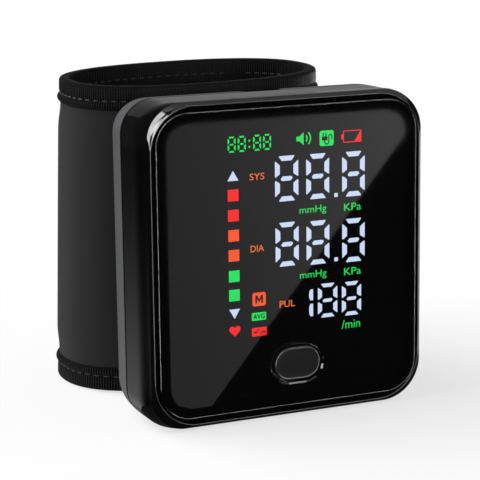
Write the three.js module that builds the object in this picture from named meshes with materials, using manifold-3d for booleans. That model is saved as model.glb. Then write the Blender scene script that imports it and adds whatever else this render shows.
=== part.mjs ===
// Wrist blood pressure monitor: a lit display unit with one button, carried on a padded wrist cuff.
// Millimetres, +Z up. The display faces -Y and the cuff lies behind it. The unit stands on its lower edge.
import * as THREE from 'three';
import { mergeVertices } from 'three/addons/utils/BufferGeometryUtils.js';
import Module from 'manifold-3d';

const wasm = await Module();
wasm.setup();

// Clearances between neighbouring pieces
const FIT = 0.3;
const LAYER_GAP = 0.2;
const SOLDER_GAP = 0.1;

// Display lens and the gasket round it
const LENS_WIDTH = 59.4;
const LENS_HEIGHT = 64;
const LENS_THICKNESS = 1.6;
const LENS_CORNER = 7;
const GROOVE = 0.95;
const GASKET_RECESS = 0.5;
const GASKET_LIP = 2.4;
const GASKET_FOOT = 0.3;

// Case shells
const CASE_DEPTH = 25;
const WALL = 1.8;
const RIM_ROUND = 0.7;
const BELLY = 2.6;
const BELLY_FRONT = 5.5;
const BELLY_REAR = 9.5;
const PARTING = 12.9;
const BACK_INSET = 5;
const BACK_SQUARENESS = 2.8;
const LEDGE_WIDTH = 3.6;
const LEDGE_THICKNESS = 1.5;
const CORNER_STEPS = 6;
const OUTER_STEPS = 7;
const INNER_STEPS = 5;
const RIM_SHARES = [0, 0.25, 0.5, 0.75];
const FLANK_SHARES = [0, 0.3, 0.65];

// Start button and its switch
const BUTTON_X = 1.5;
const BUTTON_RISE = 9.1;
const BUTTON_WIDTH = 10.8;
const BUTTON_HEIGHT = 7.3;
const BUTTON_GAP = 0.5;
const BUTTON_PROUD = 0.15;
const BUTTON_FLANGE = 0.8;
const BUTTON_FLANGE_THICKNESS = 0.8;
const BUTTON_TRAVEL = 0.5;
const SWITCH_SIZE = 6;
const SWITCH_DEPTH = 3.4;
const PLUNGER_RADIUS = 1.6;
const PLUNGER_SINK = 0.6;

// Light box behind the lens, and the legend film on its face
const FILM_THICKNESS = 0.25;
const LIGHT_BOX_WIDTH = 42;
const LIGHT_BOX_DEPTH = 5;
const LIGHT_BOX_MARGIN = 5;
const LIGHT_BOX_CLEARANCE = 1.95;

// Boards and the parts soldered to them
const BOARD_THICKNESS = 1.2;
const BOARD_MARGIN = 0.8;
const CHIP_SIZE = 10;
const CHIP_THICKNESS = 1.4;
const CHIP_X = -12;
const CHIP_RISE = 48;
const BUZZER_RADIUS = 4.5;
const BUZZER_THICKNESS = 3.5;
const BUZZER_X = 17;
const BUZZER_RISE = 46;
const SENSOR_SIZE = 5.4;
const SENSOR_THICKNESS = 4;

// Charging socket, its small board and the recess in the top of the case
const SOCKET_WIDTH = 8.9;
const SOCKET_HEIGHT = 3.2;
const SOCKET_LENGTH = 7.3;
const SOCKET_WALL = 0.35;
const SOCKET_Y = 16;
const SOCKET_TONGUE = 0.7;
const SOCKET_SINK = 0.4;
const RECESS_WIDTH = 10.8;
const RECESS_LENGTH = 8;
const RECESS_DEPTH = 1;
const CHARGE_BOARD_WIDTH = 19;
const CHARGE_BOARD_CLEARANCE = 1.6;
const CHARGE_POST_RADIUS = 1.6;

// Battery
const BATTERY_WIDTH = 28;
const BATTERY_HEIGHT = 18;
const BATTERY_THICKNESS = 5;
const BATTERY_X = -4;
const BATTERY_CLEARANCE = 1.8;

// Air pump, lying across the case and filling the depth behind the main board
const PUMP_Z = 20.5;
const PUMP_LEFT = -22;
const PUMP_CLEARANCE = 1.55;
const MOTOR_LENGTH = 15;
const SLEEVE_THICKNESS = 0.9;
const SLEEVE_MARGIN = 1.5;
const SHAFT_RADIUS = 0.75;
const SHAFT_DEPTH = 5;
const CRANK_RADIUS = 3;
const CRANK_THICKNESS = 1.6;
const CRANK_PIN_RADIUS = 0.6;
const CRANK_PIN_LENGTH = 0.9;
const CRANK_THROW = 1.6;
const HEAD_INSET = 0.3;
const HEAD_LENGTH = 9;
const HEAD_WALL = 1.3;
const HEAD_CAVITY = 5;
const DIAPHRAGM_THICKNESS = 0.9;

// Air fittings
const NOZZLE_RADIUS = 1.1;
const NOZZLE_LENGTH = 3;
const TUBE_WALL = 0.9;
const BRANCH_LENGTH = 5.5;
const TUBE_STEPS = 14;
const TUBE_CURVE = 4;
const NIPPLE_RADIUS = 2.2;
const NIPPLE_RISE = 31;

// Release valve
const VALVE_LENGTH = 11;
const VALVE_SIZE = 10;
const VALVE_BORE = 2.5;
const VALVE_BORE_DEPTH = 8.2;
const VALVE_PLUNGER_LENGTH = 6.5;
const VALVE_SEAT_GAP = 0.3;

// Screws
const CASE_SCREW_X = 26;
const CASE_SCREW_SPACING = 44;
const CASE_SCREW_RADIUS = 1.1;
const CASE_SCREW_HEAD = 2;
const CASE_SCREW_HEAD_HEIGHT = 1.4;
const CASE_SCREW_END = 4.2;
const CASE_POST_WALL = 0.9;
const CASE_POST_FLOOR = 1.6;
const CUFF_SCREW_RADIUS = 1.1;
const CUFF_SCREW_HEAD = 2;
const CUFF_SCREW_HEAD_HEIGHT = 0.5;
const CUFF_SCREW_SPACING_X = 9;
const CUFF_SCREW_MARGIN = 5;

// Plate that holds the cuff to the back of the case
const PLATE_WIDTH = 28;
const PLATE_INSET = 13.7;
const PLATE_THICKNESS = 1.3;
const PLATE_CORNER = 4;

// Wrist cuff: a flattened ring, flared a little towards its lower rim
const CUFF_HEIGHT = 69.4;
const CUFF_HALF_WIDTH = 30.2;
const CUFF_HALF_DEPTH = 19.8;
const CUFF_SQUARENESS = 2.35;
const CUFF_OFFSET_X = -3;
const CUFF_FLARE = 1.2;
const CUFF_STEPS = 44;
const CUFF_PATH_DIVISIONS = 720;
const SLIT_ANGLE = 55;
const SLIT = 1;
const COVER_THICKNESS = 0.5;
const CORE_THICKNESS = 0.7;
const BLADDER_THICKNESS = 1.6;
const LINING_THICKNESS = 0.8;
const COVER_STAND = 1.5;
const CROWN_RISE = 6;
const CORE_MARGIN = 1;
const BLADDER_END = 12;
const TAPE_THICKNESS = 0.45;
const TAPE_HEIGHT = 5.5;
const TAPE_ROUND = 0.4;

// Closing tail with its hook and loop patches
const TAIL_ROOT = 18;
const TAIL_TIP = 32;
const TAIL_HEIGHT = 54;
const TAIL_TIP_HEIGHT = 30;
const TAIL_TIP_LENGTH = 10;
const TAIL_THICKNESS = 1.4;
const TAIL_RAMP = 12;
const TAIL_STEPS = 18;
const LOOP_THICKNESS = 0.8;
const HOOK_THICKNESS = 0.8;
const PATCH_HEIGHT = 42;
const PATCH_MARGIN = 4;

// Sides of round pieces
const ROUND_SIDES = 16;
const SMALL_SIDES = 10;

const MERGE_DISTANCE = 1e-4;
const UP = new THREE.Vector3(0, 1, 0);

// Places worked out from the sizes above
const LENS_Z = BELLY + LENS_HEIGHT / 2;
const LEDGE_FRONT = LENS_THICKNESS + FIT + GASKET_FOOT;
const LEDGE_REAR = LEDGE_FRONT + LEDGE_THICKNESS;
const FILM_FRONT = LENS_THICKNESS + LAYER_GAP;
const LIGHT_BOX_FRONT = FILM_FRONT + FILM_THICKNESS + LAYER_GAP;
const BOARD_FRONT = LIGHT_BOX_FRONT + LIGHT_BOX_DEPTH + FIT;
const BOARD_REAR = BOARD_FRONT + BOARD_THICKNESS;
const PARTS_FRONT = BOARD_REAR + SOLDER_GAP;
const FLOOR_Y = CASE_DEPTH - WALL;
const CASE_TOP = LENS_HEIGHT + BELLY * 2;
const BUTTON_Z = BELLY + BUTTON_RISE;
const BUTTON_TOP = BUTTON_Z + BUTTON_HEIGHT / 2 + BUTTON_GAP + BUTTON_FLANGE;
const LIGHT_BOX_BASE = BUTTON_TOP + LIGHT_BOX_CLEARANCE;
const LIGHT_BOX_TOP = BELLY + LENS_HEIGHT - LIGHT_BOX_MARGIN;
const SLEEVE_RADIUS = (FLOOR_Y - FIT - PUMP_CLEARANCE - BOARD_REAR) / 2;
const MOTOR_RADIUS = SLEEVE_RADIUS - SLEEVE_THICKNESS - LAYER_GAP;
const HEAD_RADIUS = SLEEVE_RADIUS - HEAD_INSET;
const PUMP_Y = FLOOR_Y - FIT - SLEEVE_RADIUS;
const HEAD_LEFT = PUMP_LEFT + MOTOR_LENGTH + FIT;
const HEAD_RIGHT = HEAD_LEFT + HEAD_LENGTH;
const MANIFOLD_BORE = NOZZLE_RADIUS + FIT;
const MANIFOLD_RADIUS = MANIFOLD_BORE + TUBE_WALL;
const MANIFOLD_LEFT = HEAD_RIGHT + FIT;
const MANIFOLD_X = MANIFOLD_LEFT + NOZZLE_LENGTH;
const MANIFOLD_RIGHT = MANIFOLD_X + NOZZLE_LENGTH;
const VALVE_LEFT = MANIFOLD_RIGHT + FIT;
const SOCKET_TOP = CASE_TOP - RECESS_DEPTH - SOCKET_SINK;
const CHARGE_BOARD_REAR = SOCKET_Y - SOCKET_HEIGHT / 2 - SOLDER_GAP;
const CHARGE_BOARD_TOP = SOCKET_TOP - SOCKET_SINK - WALL;
const BATTERY_BASE = NIPPLE_RISE + NIPPLE_RADIUS + BATTERY_CLEARANCE;
const CHARGE_BOARD_BASE = BATTERY_BASE + BATTERY_HEIGHT + CHARGE_BOARD_CLEARANCE;
const CASE_SCREW_HEAD_Y = PARTING + CASE_POST_FLOOR;
const PLATE_FRONT = CASE_DEPTH + LAYER_GAP;
const PLATE_REAR = PLATE_FRONT + PLATE_THICKNESS;
const PLATE_Z = CUFF_HEIGHT / 2;
const PLATE_HEIGHT = CUFF_HEIGHT - PLATE_INSET * 2;
const CUFF_SCREW_SPACING_Z = PLATE_HEIGHT - CUFF_SCREW_MARGIN * 2;
const COVER_INNER = COVER_STAND - COVER_THICKNESS;
const CORE_OUTER = COVER_INNER - LAYER_GAP;
const CORE_INNER = CORE_OUTER - CORE_THICKNESS;
const BLADDER_OUTER = CORE_INNER - LAYER_GAP;
const BLADDER_INNER = BLADDER_OUTER - BLADDER_THICKNESS;
const LINING_OUTER = BLADDER_INNER - LAYER_GAP;
const LINING_INNER = LINING_OUTER - LINING_THICKNESS;
const RIM_INNER = LAYER_GAP / 2;
const RIM_OUTER = RIM_INNER + COVER_THICKNESS;
const TAPE_INNER = RIM_OUTER + LAYER_GAP;
const TAPE_OUTER = TAPE_INNER + TAPE_THICKNESS;
const HEM_START = TAPE_THICKNESS + LAYER_GAP;
const HEM_END = TAPE_HEIGHT + FIT;
const CROWN_START = HEM_END + CROWN_RISE;
const LOOP_INNER = COVER_STAND + LAYER_GAP;
const HOOK_INNER = LOOP_INNER + LOOP_THICKNESS + LAYER_GAP;
const TAIL_LIFT = HOOK_INNER + HOOK_THICKNESS + LAYER_GAP;
const CUFF_Y = PLATE_REAR + FIT + COVER_STAND + CUFF_FLARE / 2 + CUFF_HALF_DEPTH;

// Solids from closed meshes
function toManifold(geometry) {
  const bare = geometry.clone();
  bare.deleteAttribute('normal');
  bare.deleteAttribute('uv');
  const merged = mergeVertices(bare, MERGE_DISTANCE);
  return new wasm.Manifold(new wasm.Mesh({
    numProp: 3,
    vertProperties: Float32Array.from(merged.attributes.position.array),
    triVerts: Uint32Array.from(merged.index.array),
  }));
}

function toGeometry(manifold) {
  const mesh = manifold.getMesh();
  const geometry = new THREE.BufferGeometry();
  geometry.setAttribute('position', new THREE.BufferAttribute(mesh.vertProperties, 3));
  geometry.setIndex(new THREE.BufferAttribute(mesh.triVerts, 1));
  return geometry;
}

function cut(base, tools) {
  const start = toManifold(base);
  return toGeometry(tools.reduce((solid, tool) => solid.subtract(toManifold(tool)), start));
}

function join(base, pieces) {
  const start = toManifold(base);
  return toGeometry(pieces.reduce((solid, piece) => solid.add(toManifold(piece)), start));
}

// A round rod between two points
function rod(radius, from, to, sides = SMALL_SIDES) {
  const along = new THREE.Vector3().subVectors(to, from);
  const geometry = new THREE.CylinderGeometry(radius, radius, along.length(), sides);
  geometry.applyQuaternion(new THREE.Quaternion().setFromUnitVectors(UP, along.clone().normalize()));
  const middle = new THREE.Vector3().addVectors(from, to).divideScalar(2);
  return geometry.translate(middle.x, middle.y, middle.z);
}

function rodAlongX(radius, x0, x1, y, z, sides) {
  return rod(radius, new THREE.Vector3(x0, y, z), new THREE.Vector3(x1, y, z), sides);
}

function rodAlongY(radius, y0, y1, x, z, sides) {
  return rod(radius, new THREE.Vector3(x, y0, z), new THREE.Vector3(x, y1, z), sides);
}

function block(x0, x1, y0, y1, z0, z1) {
  const geometry = new THREE.BoxGeometry(x1 - x0, y1 - y0, z1 - z0);
  return geometry.translate((x0 + x1) / 2, (y0 + y1) / 2, (z0 + z1) / 2);
}

// A rectangle with round corners; a radius of half the height gives a slot with round ends
function roundedShape(width, height, radius) {
  const shape = new THREE.Shape();
  const x = width / 2 - radius;
  const y = height / 2 - radius;
  shape.absarc(x, y, radius, 0, Math.PI / 2);
  shape.absarc(-x, y, radius, Math.PI / 2, Math.PI);
  shape.absarc(-x, -y, radius, Math.PI, Math.PI * 1.5);
  shape.absarc(x, -y, radius, Math.PI * 1.5, Math.PI * 2);
  return shape;
}

// An upright shape carried from one depth to another
function uprightPlate(shape, x, z, front, rear) {
  const options = { depth: rear - front, bevelEnabled: false, curveSegments: CORNER_STEPS };
  const geometry = new THREE.ExtrudeGeometry(shape, options);
  return geometry.rotateX(Math.PI / 2).translate(x, rear, z);
}

// Skins a row of rings with equal counts of points. With a contour the two ends are closed flat,
// and without one the last ring is joined to the first. Upright rings run from the rear forwards.
function loft(rings, contour) {
  const count = rings[0].length;
  const positions = rings.flat().flatMap((point) => point.toArray());
  const index = [];
  const spans = contour ? rings.length - 1 : rings.length;
  for (let i = 0; i < spans; i += 1) {
    const row = i * count;
    const next = ((i + 1) % rings.length) * count;
    for (let j = 0; j < count; j += 1) {
      const k = (j + 1) % count;
      index.push(row + j, row + k, next + k);
      index.push(row + j, next + k, next + j);
    }
  }
  if (contour) {
    const last = (rings.length - 1) * count;
    const clockwise = THREE.ShapeUtils.isClockWise(contour);
    for (const face of THREE.ShapeUtils.triangulateShape(contour, [])) {
      const [a, b, c] = clockwise ? face.toReversed() : face;
      index.push(a, c, b);
      index.push(last + a, last + b, last + c);
    }
  }
  const geometry = new THREE.BufferGeometry();
  geometry.setAttribute('position', new THREE.Float32BufferAttribute(positions, 3));
  geometry.setIndex(index);
  return geometry;
}

function finish(color, roughness, metalness = 0) {
  return new THREE.MeshStandardMaterial({ color, roughness, metalness });
}

function piece(name, geometry, material) {
  const mesh = new THREE.Mesh(geometry, material);
  mesh.name = name;
  return mesh;
}

function groupOf(...meshes) {
  const group = new THREE.Group();
  group.add(...meshes);
  return group;
}

// How far the case stands outside the edge of the lens at a depth behind its face: a rounded rim,
// a swelling flank, a flat belly that the unit stands on, and a full round back.
function caseOffset(depth) {
  const rim = GROOVE + RIM_ROUND;
  if (depth <= RIM_ROUND) {
    const rest = RIM_ROUND - depth;
    return GROOVE + Math.sqrt(RIM_ROUND ** 2 - rest ** 2);
  }
  if (depth < BELLY_FRONT) {
    const share = (depth - RIM_ROUND) / (BELLY_FRONT - RIM_ROUND);
    return rim + (BELLY - rim) * Math.sin(share * Math.PI / 2);
  }
  if (depth <= BELLY_REAR) {
    return BELLY;
  }
  const share = (depth - BELLY_REAR) / (CASE_DEPTH - BELLY_REAR);
  const fall = 1 - (1 - share ** BACK_SQUARENESS) ** (1 / BACK_SQUARENESS);
  return BELLY - (BELLY + BACK_INSET) * fall;
}

// The outline of the lens moved outwards by an offset, at a depth
function outlineRing(offset, depth) {
  const radius = LENS_CORNER + offset;
  const x = LENS_WIDTH / 2 - LENS_CORNER;
  const z = LENS_HEIGHT / 2 - LENS_CORNER;
  const corners = [[x, z], [-x, z], [-x, -z], [x, -z]];
  return corners.flatMap(([cornerX, cornerZ], quarter) => {
    const points = [];
    for (let step = 0; step <= CORNER_STEPS; step += 1) {
      const angle = (quarter + step / CORNER_STEPS) * Math.PI / 2;
      const px = cornerX + radius * Math.cos(angle);
      const pz = LENS_Z + cornerZ + radius * Math.sin(angle);
      points.push(new THREE.Vector3(px, depth, pz));
    }
    return points;
  });
}

function flatContour(ring) {
  return ring.map((point) => new THREE.Vector2(point.x, point.z));
}

// Depths with finer steps where the case turns quickly
function depthsBetween(from, to, steps) {
  const share = Array.from({ length: steps + 1 }, (_, step) => step / steps);
  return share.map((value) => from + (to - from) * Math.sin(value * Math.PI / 2));
}

function casePosts() {
  const places = [];
  for (const side of [-1, 1]) {
    for (const end of [-1, 1]) {
      places.push({ x: side * CASE_SCREW_X, z: LENS_Z + end * CASE_SCREW_SPACING / 2 });
    }
  }
  return places;
}

function cuffScrewPlaces() {
  const places = [];
  for (const side of [-1, 1]) {
    for (const end of [-1, 1]) {
      const x = CUFF_OFFSET_X + side * CUFF_SCREW_SPACING_X / 2;
      places.push({ x, z: PLATE_Z + end * CUFF_SCREW_SPACING_Z / 2 });
    }
  }
  return places;
}

// The shallow recess round the charging socket, across the joint of the two shells
function portRecess() {
  const half = RECESS_LENGTH / 2;
  const floor = CASE_TOP - RECESS_DEPTH;
  const halfWidth = RECESS_WIDTH / 2;
  return block(-halfWidth, halfWidth, SOCKET_Y - half, SOCKET_Y + half, floor, CASE_TOP + WALL);
}

function buildFrontShell() {
  const seam = PARTING - FIT / 2;
  const rim = RIM_SHARES.map((share) => RIM_ROUND * share);
  const flank = FLANK_SHARES.map((share) => RIM_ROUND + (BELLY_FRONT - RIM_ROUND) * share);
  const outer = [seam, BELLY_REAR, BELLY_FRONT, ...flank.toReversed(), ...rim.toReversed()];
  const inner = [LEDGE_REAR, BELLY_FRONT, BELLY_REAR, seam];
  const rings = [
    ...outer.map((depth) => outlineRing(caseOffset(depth), depth)),
    outlineRing(GROOVE, LEDGE_FRONT),
    outlineRing(-LEDGE_WIDTH, LEDGE_FRONT),
    outlineRing(-LEDGE_WIDTH, LEDGE_REAR),
    ...inner.map((depth) => outlineRing(caseOffset(depth) - WALL, depth)),
  ];
  const bossRadius = CASE_SCREW_RADIUS + CASE_POST_WALL;
  const bossStart = (LEDGE_FRONT + LEDGE_REAR) / 2;
  const bosses = casePosts().map(({ x, z }) => rodAlongY(bossRadius, bossStart, BOARD_FRONT - FIT, x, z));
  const bores = casePosts().map(({ x, z }) => {
    const bore = CASE_SCREW_RADIUS + LAYER_GAP;
    return rodAlongY(bore, CASE_SCREW_END - FIT, BOARD_FRONT, x, z);
  });
  return cut(join(loft(rings), bosses), [...bores, portRecess()]);
}

function buildRearCover() {
  const seam = PARTING + FIT / 2;
  const outer = depthsBetween(seam, CASE_DEPTH, OUTER_STEPS).reverse();
  const inner = depthsBetween(seam, FLOOR_Y, INNER_STEPS);
  const reach = (CASE_DEPTH - seam) / (FLOOR_Y - seam);
  const rings = [
    ...outer.map((depth) => outlineRing(caseOffset(depth), depth)),
    ...inner.map((depth) => outlineRing(caseOffset(seam + (depth - seam) * reach) - WALL, depth)),
  ];
  const tubeRadius = CASE_SCREW_HEAD + FIT + CASE_POST_WALL;
  const tubes = casePosts().map(({ x, z }) => rodAlongY(tubeRadius, BOARD_REAR + FIT, FLOOR_Y, x, z));
  const postX = CHARGE_BOARD_WIDTH / 2 - CHARGE_POST_RADIUS;
  const postZ = CHARGE_BOARD_BASE + CHARGE_POST_RADIUS;
  const postEnd = FLOOR_Y + WALL / 2;
  const posts = [-postX, postX].map((x) => (
    rodAlongY(CHARGE_POST_RADIUS, CHARGE_BOARD_REAR + FIT, postEnd, x, postZ)
  ));
  const screwTunnels = casePosts().flatMap(({ x, z }) => [
    rodAlongY(CASE_SCREW_RADIUS + LAYER_GAP, BOARD_FRONT, CASE_DEPTH, x, z),
    rodAlongY(CASE_SCREW_HEAD + FIT, CASE_SCREW_HEAD_Y - LAYER_GAP, CASE_DEPTH + WALL, x, z),
  ]);
  const cuffHoles = cuffScrewPlaces().map(({ x, z }) => (
    rodAlongY(CUFF_SCREW_RADIUS + FIT, FLOOR_Y - WALL, CASE_DEPTH + WALL, x, z)
  ));
  const airRadius = NIPPLE_RADIUS + FIT;
  const airHole = rodAlongY(airRadius, FLOOR_Y - WALL, CASE_DEPTH + WALL, CUFF_OFFSET_X, NIPPLE_RISE);
  const slotShape = roundedShape(SOCKET_WIDTH + FIT * 2, SOCKET_HEIGHT + FIT * 2, SOCKET_HEIGHT / 2);
  const slot = new THREE.ExtrudeGeometry(slotShape, {
    depth: SOCKET_LENGTH,
    bevelEnabled: false,
    curveSegments: CORNER_STEPS,
  }).translate(0, SOCKET_Y, CHARGE_BOARD_TOP);
  const shell = join(loft(rings, flatContour(rings[0])), [...tubes, ...posts]);
  return cut(shell, [...screwTunnels, ...cuffHoles, airHole, slot, portRecess()]);
}

function buttonShape(grow) {
  const height = BUTTON_HEIGHT + grow * 2;
  return roundedShape(BUTTON_WIDTH + grow * 2, height, height / 2);
}

function buildCase() {
  const lensRings = [outlineRing(0, LENS_THICKNESS), outlineRing(0, 0)];
  const lensBlank = loft(lensRings, flatContour(lensRings[0]));
  const slot = uprightPlate(buttonShape(BUTTON_GAP), BUTTON_X, BUTTON_Z, -FIT, LENS_THICKNESS + FIT);
  const lip = LENS_THICKNESS + SOLDER_GAP;
  const foot = lip + GASKET_FOOT;
  const gasket = loft([
    outlineRing(GROOVE - SOLDER_GAP, foot),
    outlineRing(GROOVE - SOLDER_GAP, GASKET_RECESS),
    outlineRing(SOLDER_GAP, GASKET_RECESS),
    outlineRing(SOLDER_GAP, lip),
    outlineRing(-GASKET_LIP, lip),
    outlineRing(-GASKET_LIP, foot),
  ]);
  return groupOf(
    piece('front_shell', buildFrontShell(), finish('#101012', 0.25)),
    piece('rear_cover', buildRearCover(), finish('#1c1c1f', 0.4)),
    piece('front_lens', cut(lensBlank, [slot]), finish('#050506', 0.05)),
    piece('lens_gasket', gasket, finish('#030303', 0.8)),
  );
}

function buildButton() {
  const flangeFront = LENS_THICKNESS + FIT;
  const flangeRear = flangeFront + BUTTON_FLANGE_THICKNESS;
  const switchFront = BOARD_FRONT - SOLDER_GAP - SWITCH_DEPTH;
  const plungerFront = switchFront - BUTTON_TRAVEL - LAYER_GAP;
  const cap = uprightPlate(buttonShape(0), BUTTON_X, BUTTON_Z, -BUTTON_PROUD, flangeRear);
  const flangeShape = buttonShape(BUTTON_GAP + BUTTON_FLANGE);
  const flange = uprightPlate(flangeShape, BUTTON_X, BUTTON_Z, flangeFront, flangeRear);
  const stemStart = (flangeFront + flangeRear) / 2;
  const stem = rodAlongY(PLUNGER_RADIUS, stemStart, plungerFront - SOLDER_GAP, BUTTON_X, BUTTON_Z);
  const half = SWITCH_SIZE / 2;
  const body = block(BUTTON_X - half, BUTTON_X + half, switchFront, BOARD_FRONT - SOLDER_GAP,
    BUTTON_Z - half, BUTTON_Z + half);
  const wellEnd = switchFront + PLUNGER_SINK + BUTTON_TRAVEL + LAYER_GAP;
  const well = rodAlongY(PLUNGER_RADIUS + LAYER_GAP, switchFront - FIT, wellEnd, BUTTON_X, BUTTON_Z);
  const plunger = rodAlongY(PLUNGER_RADIUS, plungerFront, switchFront + PLUNGER_SINK, BUTTON_X, BUTTON_Z);
  return groupOf(
    piece('start_button', join(cap, [flange, stem]), finish('#222224', 0.55)),
    piece('switch_plunger', plunger, finish('#d9d4c4', 0.5)),
    piece('switch_body', cut(body, [well]), finish('#2b2b2d', 0.5)),
  );
}

function buildDisplay() {
  const half = LIGHT_BOX_WIDTH / 2;
  const rear = LIGHT_BOX_FRONT + LIGHT_BOX_DEPTH;
  const filmRear = FILM_FRONT + FILM_THICKNESS;
  const box = block(-half, half, LIGHT_BOX_FRONT, rear, LIGHT_BOX_BASE, LIGHT_BOX_TOP);
  const film = block(-half, half, FILM_FRONT, filmRear, LIGHT_BOX_BASE, LIGHT_BOX_TOP);
  return groupOf(
    piece('display_light_box', box, finish('#e8e6e0', 0.6)),
    piece('legend_film', film, finish('#101010', 0.5)),
  );
}

function buildBoards() {
  const boardRings = [BOARD_REAR, BOARD_FRONT].map((depth) => outlineRing(-BOARD_MARGIN, depth));
  const boardBlank = loft(boardRings, flatContour(boardRings[0]));
  const screwHoles = casePosts().map(({ x, z }) => (
    rodAlongY(CASE_SCREW_RADIUS + FIT, BOARD_FRONT - FIT, BOARD_REAR + FIT, x, z)
  ));
  const chipHalf = CHIP_SIZE / 2;
  const chip = block(CHIP_X - chipHalf, CHIP_X + chipHalf, PARTS_FRONT, PARTS_FRONT + CHIP_THICKNESS,
    CHIP_RISE - chipHalf, CHIP_RISE + chipHalf);
  const sensorHalf = SENSOR_SIZE / 2;
  const sensorRear = PARTS_FRONT + SENSOR_THICKNESS;
  const sensorBody = block(MANIFOLD_X - sensorHalf, MANIFOLD_X + sensorHalf, PARTS_FRONT, sensorRear,
    PUMP_Z - sensorHalf, PUMP_Z + sensorHalf);
  const portEnd = PUMP_Y - MANIFOLD_BORE;
  const sensorPort = rodAlongY(NOZZLE_RADIUS, sensorRear - FIT, portEnd, MANIFOLD_X, PUMP_Z);
  const buzzerRear = PARTS_FRONT + BUZZER_THICKNESS;
  const buzzer = rodAlongY(BUZZER_RADIUS, PARTS_FRONT, buzzerRear, BUZZER_X, BUZZER_RISE, ROUND_SIDES);
  return groupOf(
    piece('main_board', cut(boardBlank, screwHoles), finish('#15502c', 0.5)),
    piece('controller_chip', chip, finish('#18181a', 0.45)),
    piece('pressure_sensor', join(sensorBody, [sensorPort]), finish('#c9c6bd', 0.5)),
    piece('buzzer', buzzer, finish('#161616', 0.45)),
  );
}

function buildPower() {
  const halfWidth = SOCKET_WIDTH / 2;
  const halfHeight = SOCKET_HEIGHT / 2;
  const base = SOCKET_TOP - SOCKET_LENGTH;
  const options = { depth: SOCKET_LENGTH, bevelEnabled: false, curveSegments: CORNER_STEPS };
  const can = new THREE.ExtrudeGeometry(roundedShape(SOCKET_WIDTH, SOCKET_HEIGHT, halfHeight), options);
  const mouthHeight = SOCKET_HEIGHT - SOCKET_WALL * 2;
  const mouthShape = roundedShape(SOCKET_WIDTH - SOCKET_WALL * 2, mouthHeight, mouthHeight / 2);
  const mouth = new THREE.ExtrudeGeometry(mouthShape, options).translate(0, SOCKET_Y, base + SOCKET_WALL);
  const tongueHalf = halfWidth - SOCKET_WALL - halfHeight;
  const tongue = block(-tongueHalf, tongueHalf, SOCKET_Y - SOCKET_TONGUE / 2, SOCKET_Y + SOCKET_TONGUE / 2,
    base, SOCKET_TOP - SOCKET_TONGUE);
  const socket = join(cut(can.translate(0, SOCKET_Y, base), [mouth]), [tongue]);
  const cardHalf = CHARGE_BOARD_WIDTH / 2;
  const card = block(-cardHalf, cardHalf, CHARGE_BOARD_REAR - BOARD_THICKNESS, CHARGE_BOARD_REAR,
    CHARGE_BOARD_BASE, CHARGE_BOARD_TOP);
  const cellHalf = BATTERY_WIDTH / 2;
  const cellRear = FLOOR_Y - FIT;
  const cell = block(BATTERY_X - cellHalf, BATTERY_X + cellHalf, cellRear - BATTERY_THICKNESS, cellRear,
    BATTERY_BASE, BATTERY_BASE + BATTERY_HEIGHT);
  return groupOf(
    piece('charging_socket', socket, finish('#b9bcc0', 0.3, 1)),
    piece('charge_board', card, finish('#15502c', 0.5)),
    piece('battery_pack', cell, finish('#a8adb3', 0.35, 0.3)),
  );
}

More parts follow.
